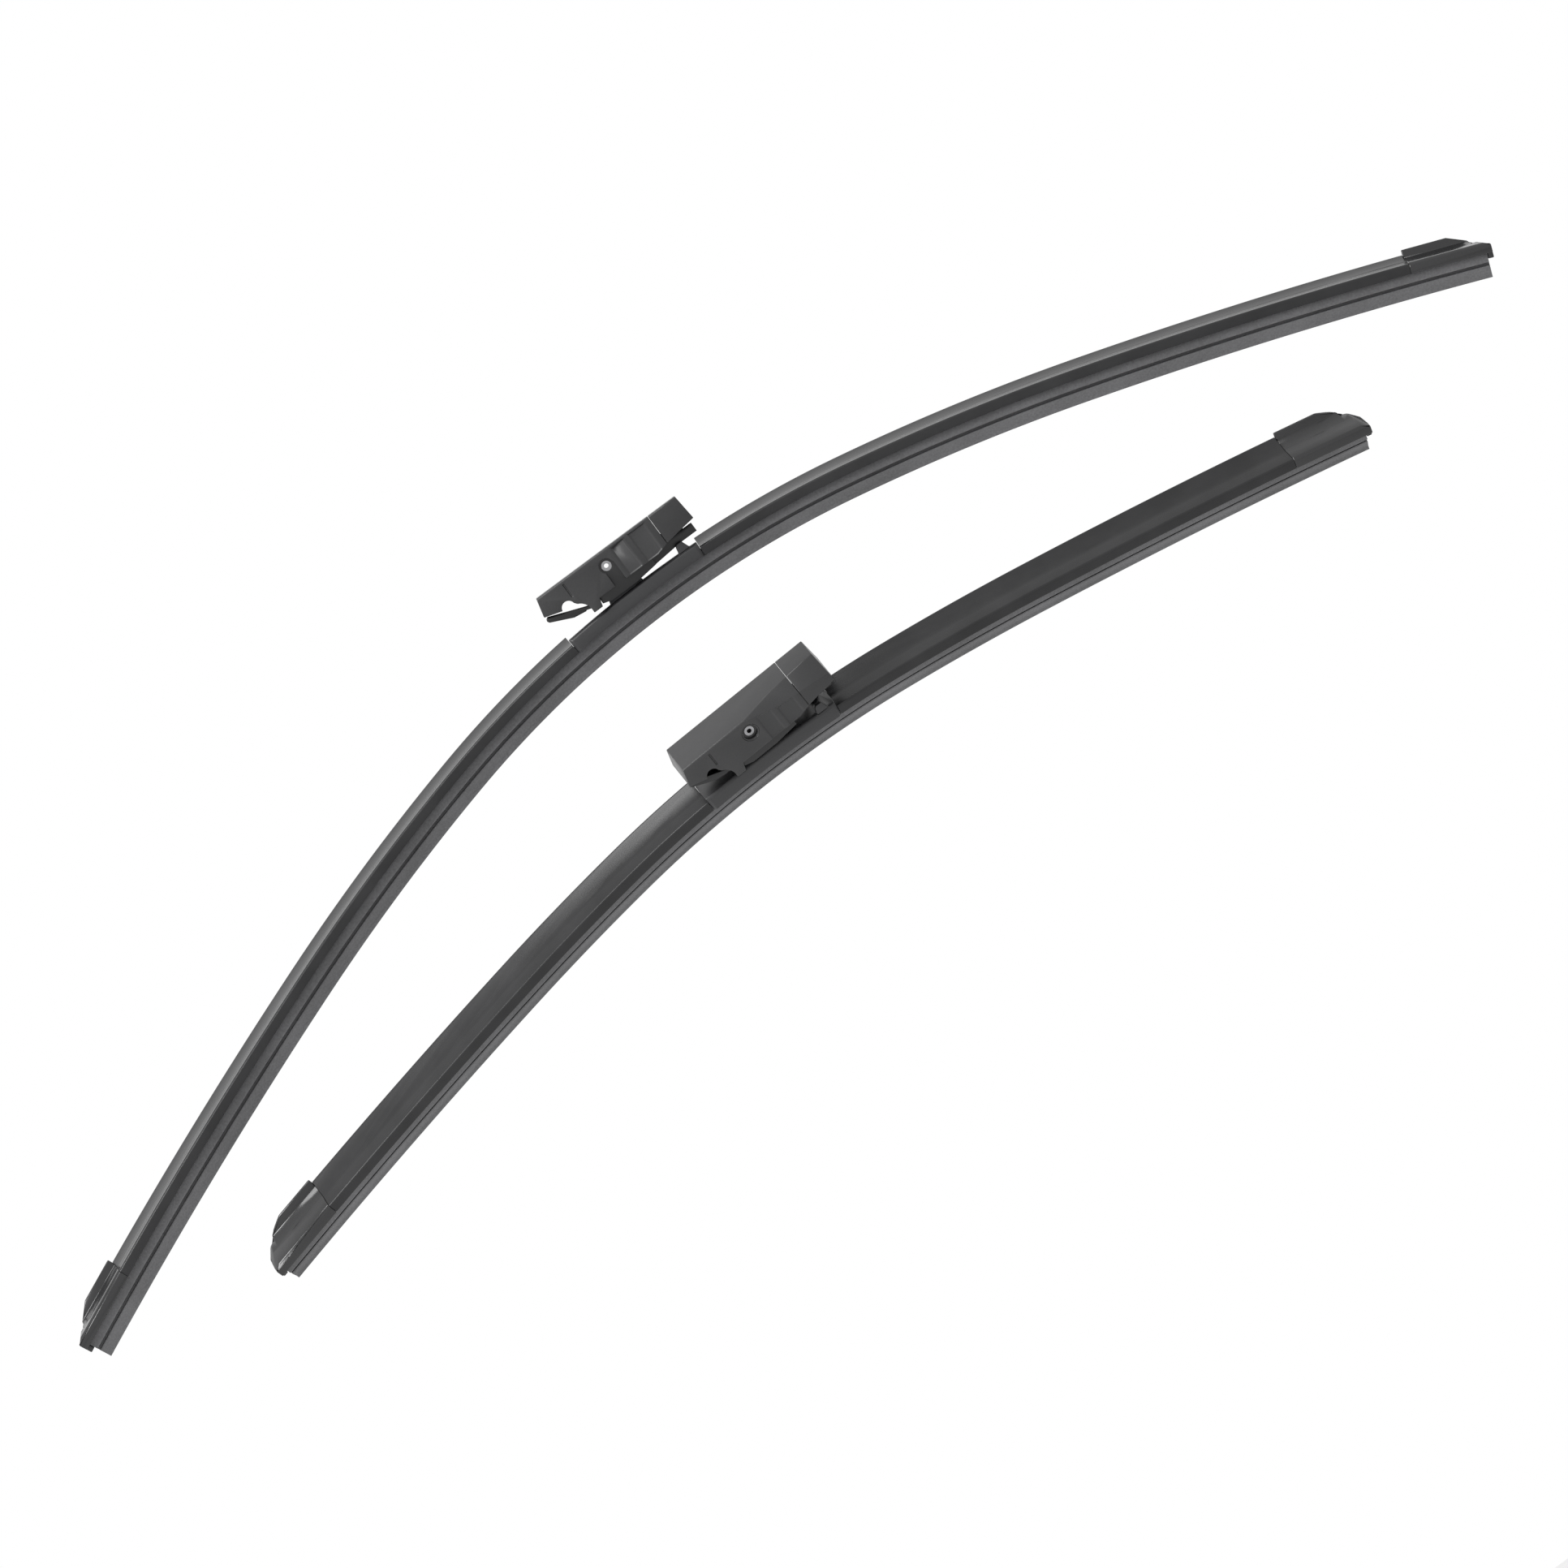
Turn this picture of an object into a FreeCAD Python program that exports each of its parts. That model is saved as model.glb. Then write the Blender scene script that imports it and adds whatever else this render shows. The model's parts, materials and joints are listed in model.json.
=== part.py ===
import FreeCAD, Part
import math
import os
from collections import namedtuple

# A pair of beam wiper blades for a windscreen: a long one and a short one.
# Each is a bowed wiping rubber held by two spring rails under a two-part
# spoiler, with an end cap at each end. A carrier in the middle grips the rails
# and its hollow rivet carries the adapter that a wiper arm drives.
#
# Lengths are in millimetres. Each blade is drawn in its own frame: X runs along
# the blade, -Y is its front (the low side of the spoiler), Z = 0 is the tip of
# the wiping lip at mid length, and the rivet's axis runs along Y at X = 0.
# The pair's frame has its origin on the long adapter's seat, above its rivet.

# The two blades. A blade's bow is three arcs on each side of its middle, each
# flatter than the one before, and a reach is where an arc ends.
LONG_LENGTH = 600.0
LONG_MIDDLE_RADIUS = 362.0
LONG_MIDDLE_REACH = 78.0
LONG_NEXT_RADIUS = 763.0
LONG_NEXT_REACH = 161.0
LONG_OUTER_RADIUS = 1710.0
SHORT_LENGTH = 450.0
SHORT_MIDDLE_RADIUS = 386.0
SHORT_MIDDLE_REACH = 53.0
SHORT_NEXT_RADIUS = 842.0
SHORT_NEXT_REACH = 104.5
SHORT_OUTER_RADIUS = 2150.0

# The short blade's rivet sits this far to the right of its middle
SHORT_OFFSET = 3.75

# Where the short adapter lies beside the long one: its roll, its turn and its rivet
SHORT_ROLL = 29.5
SHORT_TURN = -2.4
SHORT_PIVOT = (5.2, -98.0, -71.1)

# How far each blade is swung on its rivet, its right end down, as it hangs at rest
LONG_SWING = -1.4
SHORT_SWING = 2.0

# Running and assembly clearances
SLIDE_FIT = 0.05
EASY_FIT = 0.15
SEAM_GAP = 0.1
OPEN_GAP = 0.6
PIVOT_CLEARANCE = 0.05

# Wiping rubber, seen on its cut end
LIP_WIDTH = 0.7
LIP_HEIGHT = 1.2
WEDGE_WIDTH = 4.0
WEDGE_TOP = 4.1
NECK_WIDTH = 1.2
NECK_HEIGHT = 1.0
SHOULDER_WIDTH = 6.6
SHOULDER_HEIGHT = 3.6
STEM_WIDTH = 1.5
HEAD_WIDTH = 3.8
HEAD_HEIGHT = 0.9

# Spring rails
RAIL_WIDTH = 3.7
RAIL_THICKNESS = 0.9
RAIL_END_MARGIN = 9.0
RAIL_TIP_RADIUS = 1.2

# Spoiler extrusion: a flat front step, then a hollow sweep up to the ridge
CLAW_WALL = 0.9
CLAW_LIP = 0.7
CLAW_HEIGHT = 3.0
EDGE_CUT = 0.5
STEP_OUT = 0.4
STEP_RISE = 0.5
SWEEP_DIP = 0.35
RIDGE_OUT = 7.6
RIDGE_HEIGHT = 14.6
RIDGE_THICKNESS = 0.8
RIDGE_CUT = 0.3
REAR_DIP = 0.9

# End caps
CAP_LENGTH = 27.5
CAP_OVERHANG = 2.0
CAP_STEP = 0.35
CAP_CROWN = 0.5
BEAD_START = 2.0
BEAD_OUT = 4.8
BEAD_HEIGHT = 12.7
FIN_OUT = 6.9
FIN_FOOT = 13.5
FIN_RISE = 1.7
FIN_THICKNESS = 1.3
FIN_FLAT = 12.8
FIN_FALL = 7.8
END_PLATE_DROP = 1.8
NOSE_MIDDLE = (1.6, 4.4)
NOSE_END = (9.5, 8.2)
SEAM_SLANT = 5.0

# Carrier, the steel bracket that grips the rails
CARRIER_LENGTH = 40.0
CARRIER_WALL = 0.8
CARRIER_PLATE = 1.2
EAR_THICKNESS = 1.0
EAR_GAP = 5.0
EAR_FOOT = 15.0
EAR_RADIUS = 2.9

# Pivot rivet
RIVET_RADIUS = 1.7
RIVET_BORE_RADIUS = 0.8

# Base cover, the moulded shroud over the carrier
BASE_LEFT = 24.0
BASE_RIGHT = 27.0
BASE_WALL = 0.9
BASE_TOP = 13.3
BASE_CHAMFER = 1.0
HORN_START = 21.0
HORN_END = 25.4
HORN_RISE = 2.2
HORN_WIDTH = 2.0
HORN_SLOPE = 0.6

# Adapter housing. Depths are measured down from the seat, rises up from the base
SEAT_HEIGHT = 29.2
PIVOT_DEPTH = 5.0
ADAPTER_LEFT = 24.9
ADAPTER_RIGHT = 31.5
HOUSING_WIDTH = 17.6
HOUSING_WALL = 1.5
TOP_PLATE = 1.4
TOP_ROUND = 0.8
FACE_SLANT = 1.6
CHIN_DEPTH = 6.5
CHIN_CUT = 0.8
WINDOW_START = 20.3
WINDOW_END = 15.8
WINDOW_DEPTH = 8.4
WINDOW_HEIGHT = 2.0
LUG_OUTER = 12.2
LUG_INNER = 8.8
LUG_RISE = 0.9
LUG_ROUND = 2.8
WALL_RISE = 3.8
WALL_END = 16.0
SEAM_RISE = 5.0
COVER_SEAM = 20.4
COVER_BEND = 25.0
COVER_BEND_RISE = 5.7
COVER_END_RISE = 6.6
COVER_SLANT = 0.8
SIDE_HOLE_RADIUS = 2.5
SIDE_RING_WIDTH = 0.5
SIDE_RING_DEPTH = 0.25
SIDE_GROOVE = 15.3
SIDE_GROOVE_WIDTH = 0.6
SIDE_GROOVE_DEPTH = 0.4
SNAP_SLOT_LEFT = 1.6
SNAP_SLOT_RIGHT = 2.8

# Sloping front shoulder of the short blade's adapter
SHOULDER_START = 1.0
SHOULDER_BEND = 13.0
SHOULDER_CUT_AT_BEND = 4.4
SHOULDER_CUT_AT_END = 7.0
SHOULDER_FALL_SHARE = 0.9

# Adapter insert
INSERT_LEFT = 8.2
INSERT_RIGHT = 13.5
INSERT_RISE = 0.7
INSERT_END_RISE = 1.6
INSERT_FLAT = 5.0
INSERT_CHEEK = 1.2
INSERT_END_WALL = 0.9
TONGUE_END = 30.7
TONGUE_WIDTH = 6.4
TONGUE_RISE = 2.5
TONGUE_TIP_HEIGHT = 3.2
TONGUE_ROOT_HEIGHT = 7.0
TONGUE_SLOPE_START = 24.0

# Release lever, drawn from its hinge towards its tip
LEVER_HINGE_X = -10.6
LEVER_HINGE_RISE = 2.9
LEVER_TIP_X = -26.4
LEVER_TIP_DEPTH = 7.9
LEVER_NECK = 3.2
LEVER_KINK = 7.7
LEVER_ROOT_UNDER = 1.1
LEVER_KINK_UNDER = 1.85
LEVER_TIP_UNDER = 0.85
LEVER_ROOT_OVER = 0.4
LEVER_TIP_OVER = 1.05
LEVER_TIP_CUT = 0.6
LEVER_WIDTH = 12.0
LEVER_NECK_THICKNESS = 1.6
LEVER_BARREL_RADIUS = 1.4
LEVER_PIN_RADIUS = 0.9
LEVER_PIN_LENGTH = 1.1

# Heights and widths that follow from the sizes above
NECK_TOP = WEDGE_TOP + NECK_HEIGHT
RAIL_SEAT = NECK_TOP + SHOULDER_HEIGHT
GROOVE_TOP = RAIL_SEAT + RAIL_THICKNESS + 2.0 * SLIDE_FIT
HEAD_TOP = GROOVE_TOP + HEAD_HEIGHT
RAIL_INNER = STEM_WIDTH / 2.0 + SLIDE_FIT
RAIL_OUTER = RAIL_INNER + RAIL_WIDTH
SLOT_OUTER = RAIL_OUTER + SLIDE_FIT
CLAW_INNER = SHOULDER_WIDTH / 2.0 + EASY_FIT
CLAW_OUTER = SLOT_OUTER + CLAW_WALL
CLAW_BOTTOM = RAIL_SEAT - CLAW_LIP
CLAW_TOP = CLAW_BOTTOM + CLAW_HEIGHT
POCKET_SIDE = HEAD_WIDTH / 2.0 + EASY_FIT
POCKET_TOP = HEAD_TOP + EASY_FIT
CARRIER_SIDE = SLOT_OUTER + CARRIER_WALL
CARRIER_TOP = POCKET_TOP + CARRIER_PLATE
BASE_SIDE = CARRIER_SIDE + SLIDE_FIT + BASE_WALL
EAR_OUTER = EAR_GAP / 2.0 + EAR_THICKNESS
PIVOT_HEIGHT = SEAT_HEIGHT - PIVOT_DEPTH
PLATE_UNDERSIDE = SEAT_HEIGHT - TOP_PLATE
HOUSING_SIDE = HOUSING_WIDTH / 2.0
HOUSING_INNER = HOUSING_SIDE - HOUSING_WALL
CHEEK_OUTER = HOUSING_INNER - SLIDE_FIT
CHEEK_INNER = CHEEK_OUTER - INSERT_CHEEK
LEVER_HINGE_HEIGHT = BASE_TOP + LEVER_HINGE_RISE
LEVER_TIP_HEIGHT = SEAT_HEIGHT - LEVER_TIP_DEPTH
BELOW = BASE_TOP - OPEN_GAP
BEYOND = 1.0

Arc = namedtuple("Arc", "reach radius")
Blade = namedtuple("Blade", "name length arcs offset swing snap_slot")
LONG_ARCS = (
    Arc(LONG_MIDDLE_REACH, LONG_MIDDLE_RADIUS),
    Arc(LONG_NEXT_REACH, LONG_NEXT_RADIUS),
    Arc(LONG_LENGTH, LONG_OUTER_RADIUS),
)
SHORT_ARCS = (
    Arc(SHORT_MIDDLE_REACH, SHORT_MIDDLE_RADIUS),
    Arc(SHORT_NEXT_REACH, SHORT_NEXT_RADIUS),
    Arc(SHORT_LENGTH, SHORT_OUTER_RADIUS),
)
LONG = Blade("long", LONG_LENGTH, LONG_ARCS, 0.0, LONG_SWING, True)
SHORT = Blade("short", SHORT_LENGTH, SHORT_ARCS, SHORT_OFFSET, SHORT_SWING, False)

ALONG = FreeCAD.Vector(1, 0, 0)
ACROSS = FreeCAD.Vector(0, 1, 0)
UP = FreeCAD.Vector(0, 0, 1)


def face_from(start, steps, point):
    """Face inside a closed outline. A step is an end point, or a middle and an end point of an arc."""
    edges = []
    here = start
    for step in list(steps) + [start]:
        end = step[-2:]
        if len(step) == 4:
            edges.append(Part.Arc(point(*here), point(*step[:2]), point(*end)).toShape())
        else:
            edges.append(Part.makeLine(point(*here), point(*end)))
        here = end
    return Part.Face(Part.Wire(edges))


def cross_section(start, *steps):
    """Face across the blade, from (y, z) points."""
    return face_from(start, steps, lambda y, z: FreeCAD.Vector(0, y, z))


def both_sides(half):
    """Face across the blade from the points of its +Y half, listed from bottom to top."""
    points = half + [(-y, z) for y, z in reversed(half)]
    return cross_section(points[0], *points[1:])


def side_plate(y_from, y_to, start, *steps):
    """Plate with an outline of (x, z) points seen from the front, between two y values."""
    face = face_from(start, steps, lambda x, z: FreeCAD.Vector(x, y_from, z))
    return face.extrude(ACROSS * (y_to - y_from))


def plan_plate(z_from, z_to, start, *steps):
    """Plate with an outline of (x, y) points seen from above, between two heights."""
    face = face_from(start, steps, lambda x, y: FreeCAD.Vector(x, y, z_from))
    return face.extrude(UP * (z_to - z_from))


def block(x_from, x_to, y_from, y_to, z_from, z_to):
    """Rectangular block between two corners."""
    corner = FreeCAD.Vector(x_from, y_from, z_from)
    return Part.makeBox(x_to - x_from, y_to - y_from, z_to - z_from, corner)


def cross_cylinder(radius, x, z, reach):
    """Cylinder along Y, as far to the front as to the back."""
    return Part.makeCylinder(radius, 2.0 * reach, FreeCAD.Vector(x, -reach, z), ACROSS)


def arc_at(blade, distance):
    """The bow's arc that holds a distance from the blade's middle."""
    for arc in blade.arcs:
        if abs(distance) < arc.reach:
            return arc
    return blade.arcs[-1]


def bow_place(blade, distance):
    """Where a cross-section lies at a distance along the bow, as seen from the blade's middle."""
    side = -1.0 if distance < 0.0 else 1.0
    x = 0.0
    z = 0.0
    angle = 0.0
    here = 0.0
    for arc in blade.arcs:
        length = min(abs(distance), arc.reach) - here
        if length <= 0.0:
            break
        turned = angle + length / arc.radius
        x += arc.radius * (math.sin(turned) - math.sin(angle))
        z -= arc.radius * (math.cos(angle) - math.cos(turned))
        angle = turned
        here += length
    turn = FreeCAD.Rotation(ACROSS, side * math.degrees(angle))
    return FreeCAD.Placement(FreeCAD.Vector(side * x, 0, z), turn)


def moved_along_bow(shape, blade, distance):
    """A shape drawn at the blade's middle, moved a distance along the bow."""
    moved = shape.copy()
    moved.Placement = bow_place(blade, distance).multiply(moved.Placement)
    return moved


def swept_along_bow(section, blade, start, end):
    """A cross-section swept along the bow, arc by arc, between two distances from the middle."""
    joints = sorted(side * arc.reach for arc in blade.arcs for side in (-1.0, 1.0))
    stops = [start] + [joint for joint in joints if start < joint < end] + [end]
    swept = None
    for here, there in zip(stops, stops[1:]):
        radius = arc_at(blade, (here + there) / 2.0).radius
        place = bow_place(blade, here)
        centre = place.multVec(FreeCAD.Vector(0, 0, -radius))
        degrees = math.degrees((there - here) / radius)
        piece = moved_along_bow(section, blade, here).revolve(centre, ACROSS, degrees)
        swept = piece if swept is None else swept.fuse(piece)
    return swept


def channel_section(bottom):
    """Opening under a spoiler, cap or cover: rubber shoulder, rail slots and head pocket."""
    return both_sides([
        (CLAW_INNER, bottom - BEYOND),
        (CLAW_INNER, RAIL_SEAT),
        (SLOT_OUTER, RAIL_SEAT),
        (SLOT_OUTER, GROOVE_TOP),
        (POCKET_SIDE, GROOVE_TOP),
        (POCKET_SIDE, POCKET_TOP),
    ])


def rubber_channel_section(bottom):
    """Opening for the rubber alone, past the ends of the rails."""
    return both_sides([
        (CLAW_INNER, bottom - BEYOND),
        (CLAW_INNER, RAIL_SEAT + EASY_FIT),
        (POCKET_SIDE, RAIL_SEAT + EASY_FIT),
        (POCKET_SIDE, POCKET_TOP),
    ])


def wiping_rubber(blade):
    """Grooved head, shoulder, neck and wedge-shaped lip in one extrusion."""
    section = both_sides([
        (LIP_WIDTH / 2.0, 0.0),
        (LIP_WIDTH / 2.0, LIP_HEIGHT),
        (WEDGE_WIDTH / 2.0, WEDGE_TOP),
        (NECK_WIDTH / 2.0, WEDGE_TOP),
        (NECK_WIDTH / 2.0, NECK_TOP),
        (SHOULDER_WIDTH / 2.0, NECK_TOP),
        (SHOULDER_WIDTH / 2.0, RAIL_SEAT),
        (STEM_WIDTH / 2.0, RAIL_SEAT),
        (STEM_WIDTH / 2.0, GROOVE_TOP),
        (HEAD_WIDTH / 2.0, GROOVE_TOP),
        (HEAD_WIDTH / 2.0, HEAD_TOP),
    ])
    return swept_along_bow(section, blade, -blade.length / 2.0, blade.length / 2.0)


def spring_rail(blade, side):
    """Flat spring strip in one groove of the rubber's head, with rounded outer corners."""
    low = RAIL_SEAT + SLIDE_FIT
    high = low + RAIL_THICKNESS
    inner = side * RAIL_INNER
    outer = side * RAIL_OUTER
    section = cross_section((inner, low), (outer, low), (outer, high), (inner, high))
    reach = blade.length / 2.0 - RAIL_END_MARGIN
    rail = swept_along_bow(section, blade, -reach, reach)
    end = rail.BoundBox.XMax - RAIL_THICKNESS
    corners = [
        edge for edge in rail.Edges
        if abs(edge.CenterOfMass.x) > end and abs(edge.CenterOfMass.y - outer) < SLIDE_FIT
        and edge.Length < 2.0 * RAIL_THICKNESS
    ]
    return rail.makeFillet(RAIL_TIP_RADIUS, corners)


def sweep_points(front, top, out, height):
    """Front corner, flat step and hollow sweep that rises to the rear."""
    step_height = top + STEP_RISE
    quarter = ((STEP_OUT + out) / 2.0, (step_height + height) / 2.0 - SWEEP_DIP)
    return [(-front, top - EDGE_CUT), (-front + EDGE_CUT, top), (STEP_OUT, step_height), quarter, (out, height)]


def spoiler_section():
    """Spoiler extrusion: two claws round the rails, a flat step and a sweep to a rear ridge."""
    ridge_back = RIDGE_OUT + RIDGE_THICKNESS
    steps = sweep_points(CLAW_OUTER, CLAW_TOP + EDGE_CUT, RIDGE_OUT, RIDGE_HEIGHT)
    steps.append((ridge_back - RIDGE_CUT, RIDGE_HEIGHT))
    steps.append((ridge_back, RIDGE_HEIGHT - RIDGE_CUT))
    steps.append(((ridge_back + CLAW_OUTER) / 2.0 - REAR_DIP / 2.0, (RIDGE_HEIGHT + CLAW_TOP) / 2.0))
    steps.append((CLAW_OUTER, CLAW_TOP))
    steps.append((CLAW_OUTER, CLAW_BOTTOM))
    return cross_section((-CLAW_OUTER, CLAW_BOTTOM), *steps).cut(channel_section(CLAW_BOTTOM))


def cap_seam_room(blade, gap):
    """Space on the tip side of the slanted seam between spoiler and cap, at the blade's right end."""
    seam = blade.length / 2.0 + CAP_OVERHANG - CAP_LENGTH
    high = RIDGE_HEIGHT + 2.0 * FIN_RISE
    room = block(-gap, 2.0 * CAP_LENGTH, -high, high, 0.0, high)
    room.rotate(FreeCAD.Vector(0, -CLAW_OUTER, 0), UP, SEAM_SLANT)
    return moved_along_bow(room, blade, seam)


def at_side(shape, side):
    """A shape drawn for the right end, mirrored when it is wanted at the left."""
    return shape.mirror(FreeCAD.Vector(0, 0, 0), ALONG) if side < 0 else shape


def spoiler(blade, side):
    """One spoiler section, from the base cover to the end cap."""
    inner = (BASE_RIGHT if side > 0 else BASE_LEFT) + SEAM_GAP + side * blade.offset
    outer = blade.length / 2.0 + CAP_OVERHANG - CAP_LENGTH + BEYOND
    strip = swept_along_bow(spoiler_section().Faces[0], blade, inner, outer)
    return at_side(strip.cut(cap_seam_room(blade, SEAM_GAP)), side)


def cap_section():
    """End cap across its thick end: a crowned front, a rising bead and the fin."""
    side = CLAW_OUTER + CAP_STEP
    top = CLAW_TOP + EDGE_CUT + CAP_STEP
    fin_top = RIDGE_HEIGHT + FIN_RISE
    fin_back = FIN_OUT + FIN_THICKNESS
    return cross_section(
        (-side, CLAW_BOTTOM),
        (-side, top - 2.0 * EDGE_CUT),
        (-side + 2.0 * EDGE_CUT, top),
        ((BEAD_START - side) / 2.0, top + CAP_CROWN),
        (BEAD_START, top + CAP_CROWN / 2.0),
        (BEAD_OUT, BEAD_HEIGHT),
        (FIN_OUT, FIN_FOOT),
        (FIN_OUT + RIDGE_CUT / 2.0, fin_top - RIDGE_CUT),
        (FIN_OUT + RIDGE_CUT, fin_top),
        (fin_back - RIDGE_CUT, fin_top),
        (fin_back, fin_top - RIDGE_CUT),
        (fin_back + RIDGE_CUT / 2.0, FIN_FOOT),
        ((fin_back + side) / 2.0 - REAR_DIP / 2.0, (FIN_FOOT + CLAW_TOP) / 2.0),
        (side, CLAW_TOP),
        (side, CLAW_BOTTOM))


def cap_fin_trim():
    """Space above the fin, which falls in a curve to the crown near the tip."""
    flat = RIDGE_HEIGHT + FIN_RISE + SEAM_GAP
    fall_end = FIN_FLAT + FIN_FALL
    crown = CLAW_TOP + EDGE_CUT + CAP_STEP + CAP_CROWN
    over = 2.0 * RIDGE_HEIGHT
    middle = (FIN_FLAT + 0.6 * FIN_FALL, flat - 0.3 * (flat - FIN_FOOT))
    return side_plate(
        -RIDGE_HEIGHT, RIDGE_HEIGHT, (FIN_FLAT, flat), middle + (fall_end, FIN_FOOT),
        (fall_end + BEYOND, crown), (2.0 * CAP_LENGTH, crown - CAP_CROWN), (2.0 * CAP_LENGTH, over),
        (FIN_FLAT, over))


def cap_nose_trim():
    """Space behind the cap's nose, which rounds off in plan from the front corner to the fin."""
    front = -CLAW_OUTER - CAP_STEP
    middle = (CAP_LENGTH - NOSE_MIDDLE[0], NOSE_MIDDLE[1])
    end = (CAP_LENGTH - NOSE_END[0], NOSE_END[1])
    past = (end[0], 2.0 * RIDGE_HEIGHT)
    return plan_plate(
        0.0, 2.0 * RIDGE_HEIGHT, (CAP_LENGTH, front), middle + end, past,
        (2.0 * CAP_LENGTH, past[1]), (2.0 * CAP_LENGTH, front))


def end_cap(blade, side):
    """End cap over the rail tips, closed past the rubber, with a fin that falls towards the tip."""
    tip = blade.length / 2.0
    outer = tip + CAP_OVERHANG
    inner = outer - CAP_LENGTH
    body = swept_along_bow(cap_section(), blade, inner - 2.0 * CAP_OVERHANG, outer)
    body = body.common(cap_seam_room(blade, 0.0))
    rails_end = tip - RAIL_END_MARGIN + OPEN_GAP
    rubber_end = tip + EASY_FIT
    before = inner - 3.0 * CAP_OVERHANG
    body = body.cut(swept_along_bow(channel_section(CLAW_BOTTOM), blade, before, rails_end))
    body = body.cut(swept_along_bow(rubber_channel_section(CLAW_BOTTOM), blade, before, rubber_end))
    plate_low = CLAW_BOTTOM - END_PLATE_DROP
    plate_side = CLAW_INNER
    plate = cross_section(
        (-plate_side, plate_low), (-plate_side, CLAW_TOP), (plate_side, CLAW_TOP), (plate_side, plate_low))
    body = body.fuse(swept_along_bow(plate, blade, rubber_end, outer))
    trims = cap_fin_trim().fuse(cap_nose_trim())
    return at_side(body.cut(moved_along_bow(trims, blade, inner)).removeSplitter(), side)


def carrier_ear(y_from, y_to):
    """Upright ear with a rounded top round the rivet, on a long foot."""
    foot = EAR_FOOT / 2.0
    low = CARRIER_TOP - CARRIER_PLATE / 2.0
    rise = PIVOT_HEIGHT - low
    reach = math.hypot(foot, rise)
    tangent = math.atan2(rise, foot) - math.asin(EAR_RADIUS / reach)
    across = (EAR_RADIUS * math.sin(tangent), EAR_RADIUS * math.cos(tangent))
    right = (across[0], PIVOT_HEIGHT + across[1])
    left = (-across[0], PIVOT_HEIGHT + across[1])
    top = (0.0, PIVOT_HEIGHT + EAR_RADIUS)
    return side_plate(y_from, y_to, (-foot, low), (foot, low), right, top + left)


def carrier(blade):
    """Steel bracket: claws round both rails, and two ears that hold the rivet."""
    section = both_sides([(CARRIER_SIDE, CLAW_BOTTOM + SLIDE_FIT), (CARRIER_SIDE, CARRIER_TOP)])
    reach = CARRIER_LENGTH / 2.0
    bracket = swept_along_bow(section, blade, -reach, reach)
    past = reach + BEYOND
    bracket = bracket.cut(swept_along_bow(channel_section(CLAW_BOTTOM), blade, -past, past))
    for low in (-EAR_OUTER, EAR_GAP / 2.0):
        bracket = bracket.fuse(carrier_ear(low, low + EAR_THICKNESS))
    bore = cross_cylinder(RIVET_RADIUS + SLIDE_FIT / 2.0, 0.0, PIVOT_HEIGHT, HOUSING_WIDTH)
    return bracket.cut(bore).removeSplitter()


def pivot_rivet(blade):
    """Hollow rivet through both ears and both cheeks of the insert."""
    rivet = cross_cylinder(RIVET_RADIUS, 0.0, PIVOT_HEIGHT, CHEEK_OUTER)
    return rivet.cut(cross_cylinder(RIVET_BORE_RADIUS, 0.0, PIVOT_HEIGHT, HOUSING_WIDTH))


def base_horn(low):
    """Small shoulder at the base's right end, beside the insert's tongue."""
    foot = BASE_TOP - BASE_CHAMFER
    top = BASE_TOP + HORN_RISE
    return side_plate(
        low, low + HORN_WIDTH, (HORN_START, foot), (HORN_START + HORN_SLOPE, top - HORN_SLOPE),
        (HORN_START + 2.0 * HORN_SLOPE, top), (HORN_END - 2.0 * HORN_SLOPE, top), (HORN_END, foot))


def base_cover(blade):
    """Moulded shroud over the carrier, with a slot for the ears and two horns."""
    section = both_sides([
        (BASE_SIDE, CLAW_BOTTOM), (BASE_SIDE, BASE_TOP - BASE_CHAMFER), (BASE_SIDE - BASE_CHAMFER, BASE_TOP)])
    shell = swept_along_bow(section, blade, -BASE_LEFT, BASE_RIGHT)
    corners = [
        edge for edge in shell.Edges
        if abs(abs(edge.CenterOfMass.y) - BASE_SIDE) < SLIDE_FIT and edge.Length < BASE_TOP
    ]
    shell = shell.makeChamfer(BASE_CHAMFER, corners)
    horn_low = TONGUE_WIDTH / 2.0 + OPEN_GAP
    for low in (-horn_low - HORN_WIDTH, horn_low):
        shell = shell.fuse(base_horn(low))
    past = BASE_RIGHT + BEYOND
    shell = shell.cut(swept_along_bow(channel_section(CLAW_BOTTOM), blade, -past, past))
    room_side = CARRIER_SIDE + SLIDE_FIT
    room_section = both_sides([(room_side, CLAW_BOTTOM - BEYOND), (room_side, CARRIER_TOP + SLIDE_FIT)])
    room_reach = CARRIER_LENGTH / 2.0 + SLIDE_FIT
    room = swept_along_bow(room_section, blade, -room_reach, room_reach)
    slot_reach = EAR_FOOT / 2.0 + OPEN_GAP / 2.0
    slot_side = EAR_OUTER + SLIDE_FIT
    slot = block(
        -slot_reach, slot_reach, -slot_side, slot_side, CARRIER_TOP - CARRIER_PLATE, BASE_TOP + BEYOND)
    return shell.cut(room).cut(slot).removeSplitter()


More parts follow.
